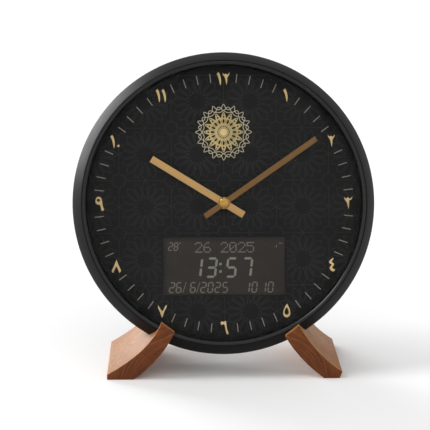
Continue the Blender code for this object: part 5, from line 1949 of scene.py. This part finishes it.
    def build(self) -> None:
        """Builds and finishes the rear."""
        self.build_buttons()
        self.build_screws()
        sleeve = Metal(
            "cell_sleeve", (0.055, 0.085, 0.12), roughness=0.3, streak_change=0.05, fineness=2000.0,
            turn=0.0, relief=0.00001, strength=0.1, shade_change=0.1, metallic=0.4,
        ).material()
        self.build_cell(
            "movement_cell", "movement_battery", depth=0.0128, rise=0.0245, flip=False, sleeve=sleeve
        )
        for row, rise in enumerate(self.bay_rises):
            self.build_cell(
                f"bay_cell_{row + 1}", f"battery_{row + 1}", depth=self.bay_depth, rise=rise,
                flip=row % 2 == 0, sleeve=sleeve,
            )
        cover = Plastic(
            "cover_texture", (0.021, 0.021, 0.022), roughness=0.55, sheen_change=0.07, specular=0.35,
            fineness=1500.0, relief=0.00012, strength=0.5,
        )
        paint_nodes(("rear_cover", "battery_door"), cover.material())
        housing = Plastic(
            "movement_black", (0.03, 0.03, 0.032), roughness=0.4, sheen_change=0.06, specular=0.4,
            fineness=2400.0, relief=0.00004, strength=0.3,
        )
        paint_nodes(("movement_housing", "setting_knob"), housing.material())
        grey = Plastic(
            "inner_grey", (0.11, 0.11, 0.112), roughness=0.5, sheen_change=0.08, specular=0.35,
            fineness=2200.0, relief=0.00005, strength=0.3,
        )
        paint_nodes(("movement_lid", "chassis_plate", "lcd_frame"), grey.material())
        board = Plastic(
            "board_green", (0.018, 0.10, 0.045), roughness=0.35, sheen_change=0.08, specular=0.5,
            fineness=1800.0, relief=0.00002, strength=0.2, shade_change=0.25,
        )
        paint_nodes(("main_board", "key_board"), board.material())
        chip = Plastic(
            "chip_black", (0.018, 0.018, 0.019), roughness=0.5, sheen_change=0.05, specular=0.4,
        )
        paint_nodes(("clock_chip", "sound_chip"), chip.material())
        rubber = Plastic(
            "strip_rubber", (0.04, 0.04, 0.042), roughness=0.8, sheen_change=0.05, specular=0.2,
        )
        paint_nodes(("display_connector", "dial_washer"), rubber.material())
        acetal = Plastic(
            "wheel_acetal", (0.60, 0.60, 0.56), roughness=0.4, sheen_change=0.06, specular=0.5,
            fineness=2600.0, relief=0.00002, strength=0.2, shade_change=0.06,
        )
        paint_nodes(("hour_wheel", "minute_wheel", "setting_pinion"), acetal.material())
        steel = Metal("plated_steel", (0.52, 0.51, 0.49), roughness=0.3)
        plated = ("minute_arbor", "motor_stator", "left_contacts", "right_contacts", "speaker_frame")
        paint_nodes(plated, steel.material())
        copper = Metal(
            "coil_copper", (0.48, 0.17, 0.07), roughness=0.38, streak_change=0.08, fineness=9000.0,
            turn=math.pi / 2,
        )
        paint_nodes(("motor_coil",), copper.material())
        ferrite = Plastic(
            "ferrite_grey", (0.06, 0.06, 0.062), roughness=0.6, sheen_change=0.08, specular=0.3,
            fineness=1400.0, relief=0.0001, strength=0.5,
        )
        paint_nodes(("motor_rotor", "speaker_magnet"), ferrite.material())
        paper = Plastic(
            "cone_paper", (0.035, 0.034, 0.033), roughness=0.85, sheen_change=0.05, specular=0.1,
            fineness=1100.0, relief=0.00025, strength=0.7, shade_change=0.3,
        )
        paint_nodes(("speaker_cone",), paper.material())


# Studio


@dataclass
class Studio:
    """Floor, lamps, world and camera."""

    eye: tuple[float, float, float] = (-0.0371, -1.2911, 0.4239)
    forward: tuple[float, float, float] = (0.0226, 0.9741, -0.2250)
    lens: float = 133.8
    sensor: float = 36.0
    floor_side: float = 14.0
    floor_colour: Colour = (0.97, 0.97, 0.97)
    sky: float = 0.52

    def build_floor(self) -> None:
        """Lays the plain pale floor."""
        clear_selection()
        bpy.ops.mesh.primitive_plane_add(size=self.floor_side)
        floor = bpy.context.object
        floor.name = "studio_floor"
        paint = Plastic(
            "floor_white", self.floor_colour, roughness=0.9, sheen_change=0.02, specular=0.0,
            fineness=20.0, relief=0.0, strength=0.0, shade_change=0.0,
        )
        floor.data.materials.append(paint.material())

    def add_sun(self, name: str, source: Sequence[float], level: float, spread: float) -> None:
        """Adds a soft distant lamp.

        Args:
            name: The lamp's name.
            source: Direction that the light comes from.
            level: Its level on a surface that faces it, where one shows a colour as it is written.
            spread: Its width in degrees.
        """
        bpy.ops.object.light_add(type="SUN")
        lamp = bpy.context.object
        lamp.name = name
        lamp.data.energy = level * math.pi
        lamp.data.angle = math.radians(spread)
        lamp.rotation_euler = Vector(source).to_track_quat("Z", "Y").to_euler()

    def build_world(self) -> None:
        """Sets an even sky that shows white to the camera and in reflections."""
        world = bpy.data.worlds.new("studio_world")
        world.use_nodes = True
        bpy.context.scene.world = world
        graph = Graph(world.node_tree)
        ground = world.node_tree.nodes["Background"]
        ground.inputs[0].default_value = (1.0, 1.0, 1.0, 1.0)
        path = graph.add("LightPath")
        seen = graph.maths("MAXIMUM", path.outputs["Is Camera Ray"], path.outputs["Is Glossy Ray"])
        seen = graph.maths("MAXIMUM", seen, path.outputs["Is Transmission Ray"])
        world.node_tree.links.new(graph.spread(seen, self.sky, 1.0), ground.inputs[1])

    def build_camera(self) -> None:
        """Places the camera at the photograph's viewing angle."""
        clear_selection()
        bpy.ops.object.camera_add(location=self.eye)
        camera = bpy.context.object
        camera.rotation_euler = Vector(self.forward).to_track_quat("-Z", "Y").to_euler()
        camera.data.lens = self.lens
        camera.data.sensor_width = self.sensor
        bpy.context.scene.camera = camera

    def build(self) -> None:
        """Sets up the studio."""
        self.build_floor()
        self.add_sun("rim_lamp", (-0.60, 0.78, 0.20), level=0.85, spread=34.0)
        self.add_sun("side_lamp", (-0.70, -0.02, 0.72), level=0.36, spread=24.0)
        self.add_sun("fill_lamp", (-0.15, -0.90, 0.40), level=0.35, spread=120.0)
        self.build_world()
        self.build_camera()
        bpy.context.scene.view_settings.view_transform = "Standard"


def main() -> None:
    """Builds every sub-assembly in order."""
    clear_selection()
    Studio().build()
    Case().build()
    display = Display()
    DialPrint().build(display.window())
    display.build()
    HandSet().build()
    Feet().build()
    Rear().build()
    clear_selection()


if __name__ == "__main__":
    main()
